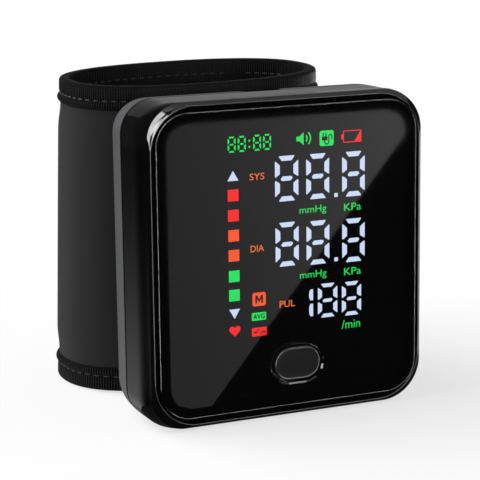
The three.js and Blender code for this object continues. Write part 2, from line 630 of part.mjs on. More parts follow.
function buildPump() {
  const motorRight = PUMP_LEFT + MOTOR_LENGTH;
  const can = rodAlongX(MOTOR_RADIUS, PUMP_LEFT, motorRight, PUMP_Y, PUMP_Z, ROUND_SIDES);
  const boreLeft = motorRight - SHAFT_DEPTH - FIT;
  const bore = rodAlongX(SHAFT_RADIUS + LAYER_GAP, boreLeft, motorRight + FIT, PUMP_Y, PUMP_Z);
  const sleeveLeft = PUMP_LEFT + SLEEVE_MARGIN;
  const sleeveRight = motorRight - SLEEVE_MARGIN;
  const sleeveBlank = rodAlongX(SLEEVE_RADIUS, sleeveLeft, sleeveRight, PUMP_Y, PUMP_Z, ROUND_SIDES);
  const sleeveInner = MOTOR_RADIUS + LAYER_GAP;
  const sleeveBore = rodAlongX(sleeveInner, PUMP_LEFT, motorRight, PUMP_Y, PUMP_Z, ROUND_SIDES);
  const discLeft = HEAD_LEFT + LAYER_GAP;
  const discRight = discLeft + CRANK_THICKNESS;
  const shaft = rodAlongX(SHAFT_RADIUS, motorRight - SHAFT_DEPTH, discRight, PUMP_Y, PUMP_Z);
  const disc = rodAlongX(CRANK_RADIUS, discLeft, discRight, PUMP_Y, PUMP_Z, ROUND_SIDES);
  const pinRight = discRight + CRANK_PIN_LENGTH;
  const pin = rodAlongX(CRANK_PIN_RADIUS, discLeft, pinRight, PUMP_Y, PUMP_Z + CRANK_THROW);
  const cavityEnd = HEAD_LEFT + HEAD_CAVITY;
  const headBlank = rodAlongX(HEAD_RADIUS, HEAD_LEFT, HEAD_RIGHT, PUMP_Y, PUMP_Z, ROUND_SIDES);
  const cavityRadius = HEAD_RADIUS - HEAD_WALL;
  const cavity = rodAlongX(cavityRadius, HEAD_LEFT - FIT, cavityEnd, PUMP_Y, PUMP_Z, ROUND_SIDES);
  const nozzleEnd = HEAD_RIGHT + NOZZLE_LENGTH;
  const nozzle = rodAlongX(NOZZLE_RADIUS, HEAD_RIGHT - HEAD_WALL, nozzleEnd, PUMP_Y, PUMP_Z);
  const diaphragmRight = cavityEnd - SOLDER_GAP;
  const diaphragmLeft = diaphragmRight - DIAPHRAGM_THICKNESS;
  const diaphragmRadius = cavityRadius - LAYER_GAP;
  const diaphragm = rodAlongX(diaphragmRadius, diaphragmLeft, diaphragmRight, PUMP_Y, PUMP_Z, ROUND_SIDES);
  return groupOf(
    piece('pump_motor', cut(can, [bore]), finish('#b4b6b8', 0.3, 1)),
    piece('pump_sleeve', cut(sleeveBlank, [sleeveBore]), finish('#1a1a1a', 0.9)),
    piece('pump_crank', join(shaft, [disc, pin]), finish('#9a9da1', 0.35, 1)),
    piece('pump_head', join(cut(headBlank, [cavity]), [nozzle]), finish('#e4e2dc', 0.5)),
    piece('pump_diaphragm', diaphragm, finish('#2a2a2a', 0.85)),
  );
}

function buildValve() {
  const right = VALVE_LEFT + VALVE_LENGTH;
  const rear = FLOOR_Y - FIT;
  const half = VALVE_SIZE / 2;
  const axisY = rear - half;
  const body = block(VALVE_LEFT, right, rear - VALVE_SIZE, rear, PUMP_Z - half, PUMP_Z + half);
  const boreLeft = right - VALVE_BORE_DEPTH;
  const bore = rodAlongX(VALVE_BORE, boreLeft, right + FIT, axisY, PUMP_Z, ROUND_SIDES);
  const nozzle = rodAlongX(NOZZLE_RADIUS, VALVE_LEFT - NOZZLE_LENGTH, VALVE_LEFT + FIT, PUMP_Y, PUMP_Z);
  const plungerLeft = boreLeft + VALVE_SEAT_GAP;
  const plungerRight = plungerLeft + VALVE_PLUNGER_LENGTH;
  const plungerRadius = VALVE_BORE - LAYER_GAP;
  const plunger = rodAlongX(plungerRadius, plungerLeft, plungerRight, axisY, PUMP_Z, ROUND_SIDES);
  return groupOf(
    piece('valve_body', join(cut(body, [bore]), [nozzle]), finish('#8f9296', 0.4, 0.8)),
    piece('valve_plunger', plunger, finish('#a7a9ac', 0.3, 1)),
  );
}

function buildAirLine() {
  const main = rodAlongX(MANIFOLD_RADIUS, MANIFOLD_LEFT, MANIFOLD_RIGHT, PUMP_Y, PUMP_Z);
  const mainBore = rodAlongX(MANIFOLD_BORE, MANIFOLD_LEFT - FIT, MANIFOLD_RIGHT + FIT, PUMP_Y, PUMP_Z);
  const sensorRear = PARTS_FRONT + SENSOR_THICKNESS;
  const frontStub = rodAlongY(MANIFOLD_RADIUS, sensorRear + FIT, PUMP_Y, MANIFOLD_X, PUMP_Z);
  const frontBore = rodAlongY(MANIFOLD_BORE, sensorRear, PUMP_Y, MANIFOLD_X, PUMP_Z);
  const stubTop = PUMP_Z + BRANCH_LENGTH;
  const upStart = new THREE.Vector3(MANIFOLD_X, PUMP_Y, PUMP_Z);
  const upEnd = new THREE.Vector3(MANIFOLD_X, PUMP_Y, stubTop);
  const upStub = rod(MANIFOLD_RADIUS, upStart, upEnd);
  const upBore = rod(MANIFOLD_BORE, upStart, upEnd.clone().setZ(stubTop + FIT));
  const nippleFront = FLOOR_Y - NOZZLE_LENGTH;
  const bend = NOZZLE_LENGTH + MANIFOLD_RADIUS;
  const route = new THREE.CatmullRomCurve3([
    new THREE.Vector3(MANIFOLD_X, PUMP_Y, stubTop + FIT),
    new THREE.Vector3(MANIFOLD_X, PUMP_Y, stubTop + FIT + TUBE_WALL),
    new THREE.Vector3(MANIFOLD_X - bend, PUMP_Y, NIPPLE_RISE),
    new THREE.Vector3(CUFF_OFFSET_X, nippleFront - FIT - NOZZLE_LENGTH / 2, NIPPLE_RISE),
    new THREE.Vector3(CUFF_OFFSET_X, nippleFront - FIT, NIPPLE_RISE),
  ]);
  const section = new THREE.Shape().absarc(0, 0, NIPPLE_RADIUS, 0, Math.PI * 2);
  const options = { steps: TUBE_STEPS, curveSegments: TUBE_CURVE, extrudePath: route };
  const tube = new THREE.ExtrudeGeometry(section, options);
  const manifold = cut(join(main, [frontStub, upStub]), [mainBore, frontBore, upBore]);
  return groupOf(
    piece('air_manifold', manifold, finish('#c9ccd0', 0.5)),
    piece('cuff_tube', tube, finish('#c9ccd0', 0.5)),
  );
}

// A pan-head or flat-head screw along Y with its head at the rear
function screw(radius, headRadius, headHeight, tip, seat, x, z) {
  const shank = rodAlongY(radius, tip, seat + headHeight / 2, x, z, SMALL_SIDES);
  return join(shank, [rodAlongY(headRadius, seat, seat + headHeight, x, z, SMALL_SIDES)]);
}

function buildScrews() {
  const steel = () => finish('#8d9094', 0.35, 1);
  const caseScrews = casePosts().map(({ x, z }, index) => {
    const geometry = screw(CASE_SCREW_RADIUS, CASE_SCREW_HEAD, CASE_SCREW_HEAD_HEIGHT, CASE_SCREW_END,
      CASE_SCREW_HEAD_Y, x, z);
    return piece(`case_screw_${index + 1}`, geometry, steel());
  });
  const cuffScrews = cuffScrewPlaces().map(({ x, z }, index) => {
    const edge = x + Math.sign(x - CUFF_OFFSET_X) * CUFF_SCREW_HEAD;
    const seat = cuffFaceY(edge, z + CUFF_SCREW_HEAD) + COVER_THICKNESS + LAYER_GAP;
    const geometry = screw(CUFF_SCREW_RADIUS, CUFF_SCREW_HEAD, CUFF_SCREW_HEAD_HEIGHT, FLOOR_Y, seat, x, z);
    return piece(`cuff_screw_${index + 1}`, geometry, steel());
  });
  return groupOf(...caseScrews, ...cuffScrews);
}

function signedPower(value, power) {
  return Math.sign(value) * Math.abs(value) ** power;
}

// The middle line of the cuff seen from above: a squared oval, run counter-clockwise from the slit
class CuffPath extends THREE.Curve {
  getPoint(share, target = new THREE.Vector3()) {
    const angle = THREE.MathUtils.degToRad(SLIT_ANGLE) + share * Math.PI * 2;
    const power = 2 / CUFF_SQUARENESS;
    const x = CUFF_OFFSET_X + CUFF_HALF_WIDTH * signedPower(Math.cos(angle), power);
    const y = CUFF_Y + CUFF_HALF_DEPTH * signedPower(Math.sin(angle), power);
    return target.set(x, y, 0);
  }
}

const cuffPath = new CuffPath();
cuffPath.arcLengthDivisions = CUFF_PATH_DIVISIONS;
const CUFF_LENGTH = cuffPath.getLength();

function flareAt(z) {
  return CUFF_FLARE / 2 - CUFF_FLARE * z / CUFF_HEIGHT;
}

// A point at a distance along the cuff, standing off its middle line and at a height
function cuffPoint(distance, stand, z) {
  const share = THREE.MathUtils.euclideanModulo(distance / CUFF_LENGTH, 1);
  const point = cuffPath.getPointAt(share);
  const along = cuffPath.getTangentAt(share);
  const reach = stand + flareAt(z);
  return point.set(point.x + along.y * reach, point.y - along.x * reach, z);
}

// The depth of the outer face of the cuff's front at a place across it
function cuffFaceY(x, z) {
  const across = Math.abs(x - CUFF_OFFSET_X) / CUFF_HALF_WIDTH;
  const sag = (1 - across ** CUFF_SQUARENESS) ** (1 / CUFF_SQUARENESS);
  return CUFF_Y - CUFF_HALF_DEPTH * sag - COVER_STAND - flareAt(z);
}

// A band along the cuff from one distance to another, with its section given at each share of the way
function band(from, to, steps, sectionAt) {
  const rings = [];
  for (let step = 0; step <= steps; step += 1) {
    const share = step / steps;
    const distance = from + (to - from) * share;
    rings.push(sectionAt(share).map(({ x, y }) => cuffPoint(distance, x, y)));
  }
  return loft(rings, sectionAt(0));
}

function section(...corners) {
  return corners.map(([stand, z]) => new THREE.Vector2(stand, z));
}

function rectangle(inner, outer, low, high) {
  return section([inner, low], [inner, high], [outer, high], [outer, low]);
}

// One cloth face of the cuff: drawn in at both hems and crowned between them
function clothSection(hemInner, hemOuter, crownInner, crownOuter) {
  const top = CUFF_HEIGHT;
  return section(
    [hemInner, HEM_START], [hemInner, HEM_END], [crownInner, CROWN_START],
    [crownInner, top - CROWN_START], [hemInner, top - HEM_END], [hemInner, top - HEM_START],
    [hemOuter, top - HEM_START], [hemOuter, top - HEM_END], [crownOuter, top - CROWN_START],
    [crownOuter, CROWN_START], [hemOuter, HEM_END], [hemOuter, HEM_START],
  );
}

// Edge tape folded over a rim; the direction is 1 for the lower rim and -1 for the upper one
function tapeSection(rim, direction) {
  const at = (height) => rim + direction * height;
  const corners = section(
    [-TAPE_OUTER, at(TAPE_ROUND)], [-TAPE_OUTER, at(TAPE_HEIGHT)], [-TAPE_INNER, at(TAPE_HEIGHT)],
    [-TAPE_INNER, at(TAPE_THICKNESS)], [TAPE_INNER, at(TAPE_THICKNESS)], [TAPE_INNER, at(TAPE_HEIGHT)],
    [TAPE_OUTER, at(TAPE_HEIGHT)], [TAPE_OUTER, at(TAPE_ROUND)],
    [TAPE_OUTER - TAPE_ROUND, at(0)], [TAPE_ROUND - TAPE_OUTER, at(0)],
  );
  return direction > 0 ? corners : corners.reverse();
}

function buildCuff() {
  const start = SLIT / 2;
  const end = CUFF_LENGTH - SLIT / 2;
  const ring = (corners) => band(start, end, CUFF_STEPS, () => corners);
  const coreLow = CROWN_START + CORE_MARGIN;
  const plateHoles = cuffScrewPlaces();
  const through = (radius) => plateHoles.map(({ x, z }) => rodAlongY(radius, FLOOR_Y, CUFF_Y, x, z));
  const air = rodAlongY(NIPPLE_RADIUS + FIT, FLOOR_Y, CUFF_Y, CUFF_OFFSET_X, NIPPLE_RISE);
  const cover = ring(clothSection(RIM_INNER, RIM_OUTER, COVER_INNER, COVER_STAND));
  const lining = ring(clothSection(-RIM_OUTER, -RIM_INNER, LINING_INNER, LINING_OUTER));
  const core = ring(rectangle(CORE_INNER, CORE_OUTER, coreLow, CUFF_HEIGHT - coreLow));
  const bag = band(BLADDER_END, CUFF_LENGTH - BLADDER_END, CUFF_STEPS, () => (
    rectangle(BLADDER_INNER, BLADDER_OUTER, CROWN_START, CUFF_HEIGHT - CROWN_START)
  ));
  const bagMiddle = (BLADDER_INNER + BLADDER_OUTER) / 2;
  const nippleRear = cuffFaceY(CUFF_OFFSET_X, NIPPLE_RISE) + COVER_STAND - bagMiddle;
  const nipple = rodAlongY(NIPPLE_RADIUS, FLOOR_Y - NOZZLE_LENGTH, nippleRear, CUFF_OFFSET_X, NIPPLE_RISE);
  const plateShape = roundedShape(PLATE_WIDTH, PLATE_HEIGHT, PLATE_CORNER);
  const plate = uprightPlate(plateShape, CUFF_OFFSET_X, PLATE_Z, PLATE_FRONT, PLATE_REAR);
  const shankHoles = through(CUFF_SCREW_RADIUS + FIT);
  const headHoles = through(CUFF_SCREW_HEAD + FIT);
  return groupOf(
    piece('cuff_mount_plate', cut(plate, [...shankHoles, air]), finish('#232326', 0.6)),
    piece('cuff_cover', cut(cover, [...shankHoles, air]), finish('#2a2a2c', 0.85)),
    piece('cuff_core', cut(core, [...headHoles, air]), finish('#d8d8d8', 0.4)),
    piece('air_bladder', join(bag, [nipple]), finish('#7a7d80', 0.5)),
    piece('cuff_lining', lining, finish('#161617', 0.95)),
    piece('upper_binding', ring(tapeSection(CUFF_HEIGHT, -1)), finish('#121213', 0.9)),
    piece('lower_binding', ring(tapeSection(0, 1)), finish('#121213', 0.9)),
  );
}

function buildTail() {
  const middle = CUFF_HEIGHT / 2;
  const length = TAIL_ROOT + TAIL_TIP;
  const rest = COVER_STAND + FIT;
  const innerAt = (share) => {
    const climb = THREE.MathUtils.smoothstep(share * length, 0, TAIL_RAMP);
    return rest + (TAIL_LIFT - rest) * climb;
  };
  const heightAt = (share) => {
    const left = Math.min((1 - share) * length / TAIL_TIP_LENGTH, 1);
    const round = Math.sqrt(1 - (1 - left) ** 2);
    return TAIL_TIP_HEIGHT + (TAIL_HEIGHT - TAIL_TIP_HEIGHT) * round;
  };
  const tail = band(TAIL_ROOT, -TAIL_TIP, TAIL_STEPS, (share) => {
    const half = heightAt(share) / 2;
    const inner = innerAt(share);
    return rectangle(inner, inner + TAIL_THICKNESS, middle - half, middle + half).reverse();
  });
  const patchLow = middle - PATCH_HEIGHT / 2;
  const patchHigh = middle + PATCH_HEIGHT / 2;
  const patchStart = TAIL_ROOT - TAIL_RAMP - PATCH_MARGIN;
  const patchEnd = PATCH_MARGIN - TAIL_TIP;
  const hook = band(patchStart, patchEnd, TAIL_STEPS, () => (
    rectangle(HOOK_INNER, HOOK_INNER + HOOK_THICKNESS, patchLow, patchHigh).reverse()
  ));
  const loop = band(-PATCH_MARGIN, patchEnd - PATCH_MARGIN, TAIL_STEPS, () => (
    rectangle(LOOP_INNER, LOOP_INNER + LOOP_THICKNESS, patchLow, patchHigh).reverse()
  ));
  return groupOf(
    piece('cuff_tail', tail, finish('#1b1b1d', 0.9)),
    piece('hook_patch', hook, finish('#0c0c0d', 0.8)),
    piece('loop_patch', loop, finish('#131314', 1)),
  );
}

const assembly = groupOf(
  buildCase(),
  buildButton(),
  buildDisplay(),
  buildBoards(),
  buildPower(),
  buildPump(),
  buildValve(),
  buildAirLine(),
  buildScrews(),
  buildCuff(),
  buildTail(),
);

// The origin is the middle of the footprint, on the surface that the monitor stands on
const bounds = new THREE.Box3().setFromObject(assembly, true);
const centre = bounds.getCenter(new THREE.Vector3());
assembly.position.set(-centre.x, -centre.y, -bounds.min.z);

const monitor = groupOf(assembly);
monitor.name = 'wrist_blood_pressure_monitor';

export default monitor;
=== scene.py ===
"""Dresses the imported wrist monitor: smooth shells, lit display, padded cuff, and the studio it stands in.

Lengths are in millimetres of the case frame until a piece is made: x runs to the right from the middle of
the window, y runs back from the front of the window, and z runs up from the floor.
"""

import logging
import math
from collections.abc import Sequence
from dataclasses import dataclass, field
from enum import Enum

import bmesh
import bpy
import numpy as np
from mathutils import Matrix, Vector


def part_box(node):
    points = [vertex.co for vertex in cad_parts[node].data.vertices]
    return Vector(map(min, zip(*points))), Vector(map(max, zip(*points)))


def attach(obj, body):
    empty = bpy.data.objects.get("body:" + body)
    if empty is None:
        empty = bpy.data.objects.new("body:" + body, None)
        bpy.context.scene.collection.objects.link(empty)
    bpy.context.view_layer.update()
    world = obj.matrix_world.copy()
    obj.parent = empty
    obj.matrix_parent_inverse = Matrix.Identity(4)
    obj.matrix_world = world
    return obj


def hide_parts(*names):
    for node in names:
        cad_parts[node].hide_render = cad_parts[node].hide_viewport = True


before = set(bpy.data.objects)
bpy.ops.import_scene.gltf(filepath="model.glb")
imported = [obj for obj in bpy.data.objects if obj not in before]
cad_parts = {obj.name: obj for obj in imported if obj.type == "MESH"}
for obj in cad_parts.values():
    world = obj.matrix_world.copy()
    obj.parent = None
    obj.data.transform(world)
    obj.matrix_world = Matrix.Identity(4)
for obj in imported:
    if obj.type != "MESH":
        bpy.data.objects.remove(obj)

log = logging.getLogger("wrist_monitor")
MM = 0.001
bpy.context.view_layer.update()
WELD = 1e-7
CREASE = 32.0
EDGE_STEPS = 6

Array = np.ndarray
Piece = bpy.types.Object
Material = bpy.types.Material
Socket = bpy.types.NodeSocket
Feed = Socket | float | Sequence[float] | None
Colour = tuple[float, float, float]
Span = tuple[float, float]
Box = tuple[float, float, float, float]


def cad_box(node: str) -> tuple[Array, Array]:
    """Gives the lowest and highest corner of a CAD node, in millimetres of the frame."""
    low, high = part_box(node)
    return np.array(low) / MM, np.array(high) / MM


WINDOW_LOW, WINDOW_HIGH = cad_box("front_lens")
WINDOW_WIDTH, WINDOW_THICKNESS, WINDOW_HEIGHT = WINDOW_HIGH - WINDOW_LOW
WINDOW_Z = (WINDOW_LOW[2] + WINDOW_HIGH[2]) / 2
ORIGIN = np.array([(WINDOW_LOW[0] + WINDOW_HIGH[0]) / 2, WINDOW_LOW[1], 0.0])


def local_box(node: str) -> tuple[Array, Array]:
    """Gives the lowest and highest corner of a CAD node, in the case frame."""
    low, high = cad_box(node)
    return low - ORIGIN, high - ORIGIN


def middle_of(node: str) -> Array:
    """Gives the middle of a CAD node's box, in the case frame."""
    low, high = local_box(node)
    return (low + high) / 2


def half_of(node: str) -> Array:
    """Gives half of the width, depth and height of a CAD node's box."""
    low, high = local_box(node)
    return (high - low) / 2


def smoothstep(share: Array) -> Array:
    """Eases from 0 to 1, level at both ends, for shares from 0 to 1."""
    held = np.clip(share, 0.0, 1.0)
    return held * held * (3.0 - 2.0 * held)


def signed_power(value: Array, power: float) -> Array:
    """Raises the size of each value to a power and keeps its sign."""
    return np.sign(value) * np.abs(value) ** power


def round_way(turn: Array) -> Array:
    """Gives the cosine and sine of each angle, as places on a circle of radius one."""
    return np.stack([np.cos(turn), np.sin(turn)], axis=-1)


def soft_edge(radius: float, front: float = 0.0) -> list[tuple[float, float]]:
    """Rounds a front edge by a quarter circle, as pairs of inset from the side and depth."""
    turn = np.linspace(0.0, math.pi / 2, EDGE_STEPS)
    return [(radius * (math.sin(t) - 1.0), front + radius * (1.0 - math.cos(t))) for t in turn]


def flat_grid(along: Array, across: Array) -> Array:
    """Pairs each distance along a cloth with each place across it."""
    return np.stack(np.broadcast_arrays(along[:, None], across), axis=-1)


def grid_faces(rows: int, columns: int, wrap_rows: bool = False, wrap_columns: bool = False) -> Array:
    """Joins a grid of points into quads.

    Args:
        rows: points along the first direction.
        columns: points along the second direction.
        wrap_rows: whether the last row joins the first.
        wrap_columns: whether the last column joins the first.

    Returns:
        Four point numbers for each quad.
    """
    row, column = np.arange(rows - 1 + wrap_rows)[:, None], np.arange(columns - 1 + wrap_columns)
    next_row, next_column = (row + 1) % rows, (column + 1) % columns
    ways = ((row, column), (row, next_column), (next_row, next_column), (next_row, column))
    return np.stack([down * columns + across for down, across in ways], axis=-1).reshape(-1, 4)


class Form:
    """One mesh being put together from whole grids of points, in the case frame."""

    def __init__(self) -> None:
        """Starts with no points and no faces."""
        self.points: list[Array] = []
        self.faces: list[Array] = []
        self.flats: list[Array] = []
        self.slots: list[Array] = []
        self.count = 0

    def _add(self, points: Array, faces: Array, flat: Array, slot: int) -> None:
        """Adds points and the faces between them.

        Args:
            points: the places.
            faces: their point numbers, all faces with the same number of corners.
            flat: the flat place of each face corner.
            slot: which of the piece's finishes they take.
        """
        self.points.append(points.reshape(-1, 3))
        self.faces.append(faces + self.count)
        self.flats.append(flat.reshape(-1, 2))
        self.slots.append(np.full(len(faces), slot))
        self.count += len(self.points[-1])

    def add_grid(
        self,
        points: Array,
        wrap_rows: bool = False,
        wrap_columns: bool = False,
        flat: Array | None = None,
        slot: int = 0,
    ) -> "Form":
        """Adds a grid of points as quads.

        Args:
            points: places, rows by columns by three.
            wrap_rows: whether the last row joins the first.
            wrap_columns: whether the last column joins the first.
            flat: place of each point on the flat cloth, with one more row or column where it wraps.
            slot: which of the piece's finishes it takes.

        Returns:
            This form.
        """
        rows, columns = points.shape[:2]
        faces = grid_faces(rows, columns, wrap_rows, wrap_columns)
        corners = grid_faces(rows + wrap_rows, columns + wrap_columns)
        places = np.zeros((len(faces) * 4, 2)) if flat is None else flat.reshape(-1, 2)[corners.ravel()]
        self._add(points, faces, places, slot)
        return self

    def add_cap(self, ring: Array, slot: int = 0) -> "Form":
        """Closes a ring of points with one flat face."""
        self._add(ring, np.arange(len(ring))[None, :], np.zeros((len(ring), 2)), slot)
        return self

    def add_copies(self, points: Array, faces: Array, slot: int = 0) -> "Form":
        """Adds many copies of one small shape.

        Args:
            points: places, copies by points by three.
            faces: the faces of one copy, as point numbers.
            slot: which of the piece's finishes they take.

        Returns:
            This form.
        """
        copies, size = points.shape[:2]
        every = (faces[None, :, :] + np.arange(copies)[:, None, None] * size).reshape(-1, faces.shape[1])
        self._add(points, every, np.zeros((every.size, 2)), slot)
        return self

    def piece(
        self,
        name: str,
        finishes: Sequence[Material] = (),
        closed: bool = True,
        crease: float = CREASE,
    ) -> Piece:
        """Makes the scene's object.

        Args:
            name: the piece's name.
            finishes: its materials, in slot order; a piece that only cuts has none.
            closed: whether the mesh encloses a solid, so that its faces can be turned outwards.
            crease: angle in degrees past which an edge stays sharp.

        Returns:
            The new object, with its place in its mesh.
        """
        places = (np.concatenate(self.points) + ORIGIN) * MM
        mesh = bpy.data.meshes.new(name)
        mesh.from_pydata(places, [], [face for faces in self.faces for face in faces.tolist()])
        mesh.polygons.foreach_set("material_index", np.concatenate(self.slots).astype(np.int32))
        layer = mesh.uv_layers.new(name="flat")
        layer.data.foreach_set("uv", np.concatenate(self.flats).astype(np.float32).ravel())
        settle(mesh, closed, crease)
        for finish in finishes:
            mesh.materials.append(finish)
        made = bpy.data.objects.new(name, mesh)
        bpy.context.scene.collection.objects.link(made)
        return made


def settle(mesh: bpy.types.Mesh, closed: bool, crease: float) -> None:
    """Welds points that coincide, turns a closed mesh outwards and shades it smooth up to the crease.

    Args:
        mesh: the mesh that is changed.
        closed: whether it encloses a solid.
        crease: angle in degrees past which an edge stays sharp.
    """
    work = bmesh.new()
    work.from_mesh(mesh)
    bmesh.ops.remove_doubles(work, verts=work.verts, dist=WELD)
    if closed:
        bmesh.ops.recalc_face_normals(work, faces=work.faces)
    work.to_mesh(mesh)
    work.free()
    mesh.polygons.foreach_set("use_smooth", np.ones(len(mesh.polygons), dtype=bool))
    mesh.set_sharp_from_angle(angle=math.radians(crease))
    mesh.update()


def shaped_mesh(body: Piece) -> bpy.types.Mesh:
    """Gives a new mesh of an object as its modifiers or its letters shape it."""
    return bpy.data.meshes.new_from_object(body.evaluated_get(bpy.context.evaluated_depsgraph_get()))


def cut(body: Piece, tools: Sequence[Piece], join: bool = False, crease: float = CREASE) -> None:
    """Takes the tools' solids out of a body, or adds them to it, and keeps the result as its mesh.

    Args:
        body: the piece that is changed.
        tools: closed pieces, which are removed from the scene afterwards.
        join: whether the tools are added.
        crease: angle in degrees past which an edge stays sharp.
    """
    for tool in tools:
        step = body.modifiers.new("cut", "BOOLEAN")
        step.operation = "UNION" if join else "DIFFERENCE"
        step.solver = "EXACT"
        step.object = tool
    whole, body.data = body.data, shaped_mesh(body)
    body.modifiers.clear()
    bpy.data.meshes.remove(whole)
    body.data.name = body.name
    settle(body.data, True, crease)
    for tool in tools:
        mesh = tool.data
        bpy.data.objects.remove(tool)
        bpy.data.meshes.remove(mesh)


def places_of(mesh: bpy.types.Mesh) -> Array:
    """Reads the places of a mesh's points.

    Args:
        mesh: the mesh.

    Returns:
        The places, one row for each point.
    """
    places = np.zeros(len(mesh.vertices) * 3, dtype=np.float32)
    mesh.vertices.foreach_get("co", places)
    return places.reshape(-1, 3)


def place(body: Piece, rides_on: str, slot: str, *nodes: str) -> None:
    """Puts a piece on a CAD body in place of CAD nodes.

    Args:
        body: the piece.
        rides_on: the CAD body that it moves with.
        slot: its material slot in the record; not used.
        nodes: the CAD nodes that it replaces.
    """
    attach(body, rides_on)
    if nodes:
        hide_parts(*nodes)
    log.info("made %s", body.name)


def stadium(width: float, height: float, end_steps: int) -> Array:
    """Outlines a bar with two half circles for ends, lying along x.

    Args:
        width: from end to end.
        height: twice the radius of the ends.
        end_steps: points round each end.

    Returns:
        The points as x and z from its middle.
    """
    radius = height / 2
    turn = np.linspace(-math.pi / 2, math.pi / 2, end_steps)
    right = radius * round_way(turn) + (width / 2 - radius, 0.0)
    return np.concatenate([right, -right])


def circle(radius: float, steps: int) -> Array:
    """Outlines a circle as x and z from its middle."""
    return radius * round_way(np.arange(steps) * 2 * math.pi / steps)


def rounded_rectangle(half_width: float, half_height: float, corner: float, steps: int, side: int) -> Array:
    """Outlines a rectangle with round corners as x and z from its middle.

    Args:
        half_width: half of its width, along x.
        half_height: half of its height, along z.
        corner: radius of the corners.
        steps: points round each corner.
        side: points along each straight side.

    Returns:
        The points, counter-clockwise.
    """
    arc = corner * round_way(np.linspace(0.0, math.pi / 2, steps))
    inner = np.array([half_width - corner, half_height - corner])
    share = np.arange(1, side + 1)[:, None] / (side + 1)
    arcs = [inner + arc, (inner + arc[:, ::-1]) * (-1.0, 1.0)]
    arcs += [-opposite for opposite in arcs]
    runs = []
    for near, far in zip(arcs, arcs[1:] + arcs[:1]):
        runs += [near, near[-1] + (far[0] - near[-1]) * share]
    return np.concatenate(runs)


def at_depth(outline: Array, depth: float, x: float = 0.0, z: float = 0.0) -> Array:
    """Stands an outline of x and z upright at one depth behind the window's front."""
    return np.stack([outline[:, 0] + x, np.full(len(outline), depth), outline[:, 1] + z], axis=-1)


def at_height(outline: Array, height: float, x: float = 0.0, y: float = 0.0) -> Array:
    """Lays an outline level at one height above the floor."""
    return np.stack([outline[:, 0] + x, outline[:, 1] + y, np.full(len(outline), height)], axis=-1)


def bar(rings: Sequence[Array], slot: int = 0, form: Form | None = None, flat: Array | None = None) -> Form:
    """Carries an outline through a row of rings and closes both ends, as a solid bar.

    Args:
        rings: the outline's places at each stop.
        slot: which of the piece's finishes it takes.
        form: the form that it is added to; a new one if there is none.
        flat: place of each point on the flat cloth.

    Returns:
        The form.
    """
    form = form or Form()
    form.add_grid(np.stack(rings), wrap_columns=True, flat=flat, slot=slot)
    form.add_cap(rings[0], slot)
    return form.add_cap(rings[-1], slot)


def rod(radius: float, steps: int, ends: Span, x: float, z: float, form: Form | None = None) -> Form:
    """Carries a circle of some steps along y between two depths, as a solid rod."""
    return bar([at_depth(circle(radius, steps), depth, x, z) for depth in ends], 0, form)


def loop(rings: Sequence[Array]) -> Form:
    """Joins a row of rings into a closed loop, the last one to the first."""
    return Form().add_grid(np.stack(rings), wrap_rows=True, wrap_columns=True)


class Nodes:
    """A tree of shader nodes being put together."""

    def __init__(self, tree: bpy.types.NodeTree) -> None:
        """Takes the tree that the nodes go into."""
        self.tree = tree

    def node(self, kind: str, *feeds: Feed, **settings: str) -> Socket:
        """Adds a node, sets it up and feeds its inputs in order.

        Args:
            kind: the node's type without its ShaderNode prefix.
            feeds: an output socket, a constant, or None for an input left as it is.
            settings: the node's own settings.

        Returns:
            The node's first output.
        """
        made = self.tree.nodes.new("ShaderNode" + kind)
        for setting, value in settings.items():
            setattr(made, setting, value)
        for socket, feed in zip(made.inputs, feeds):
            if isinstance(feed, Socket):
                self.tree.links.new(feed, socket)
            elif feed is not None:
                socket.default_value = feed
        return made.outputs[0]

    def math(self, operation: str, *feeds: Feed) -> Socket:
        """Adds one step of arithmetic."""
        return self.node("Math", *feeds, operation=operation)


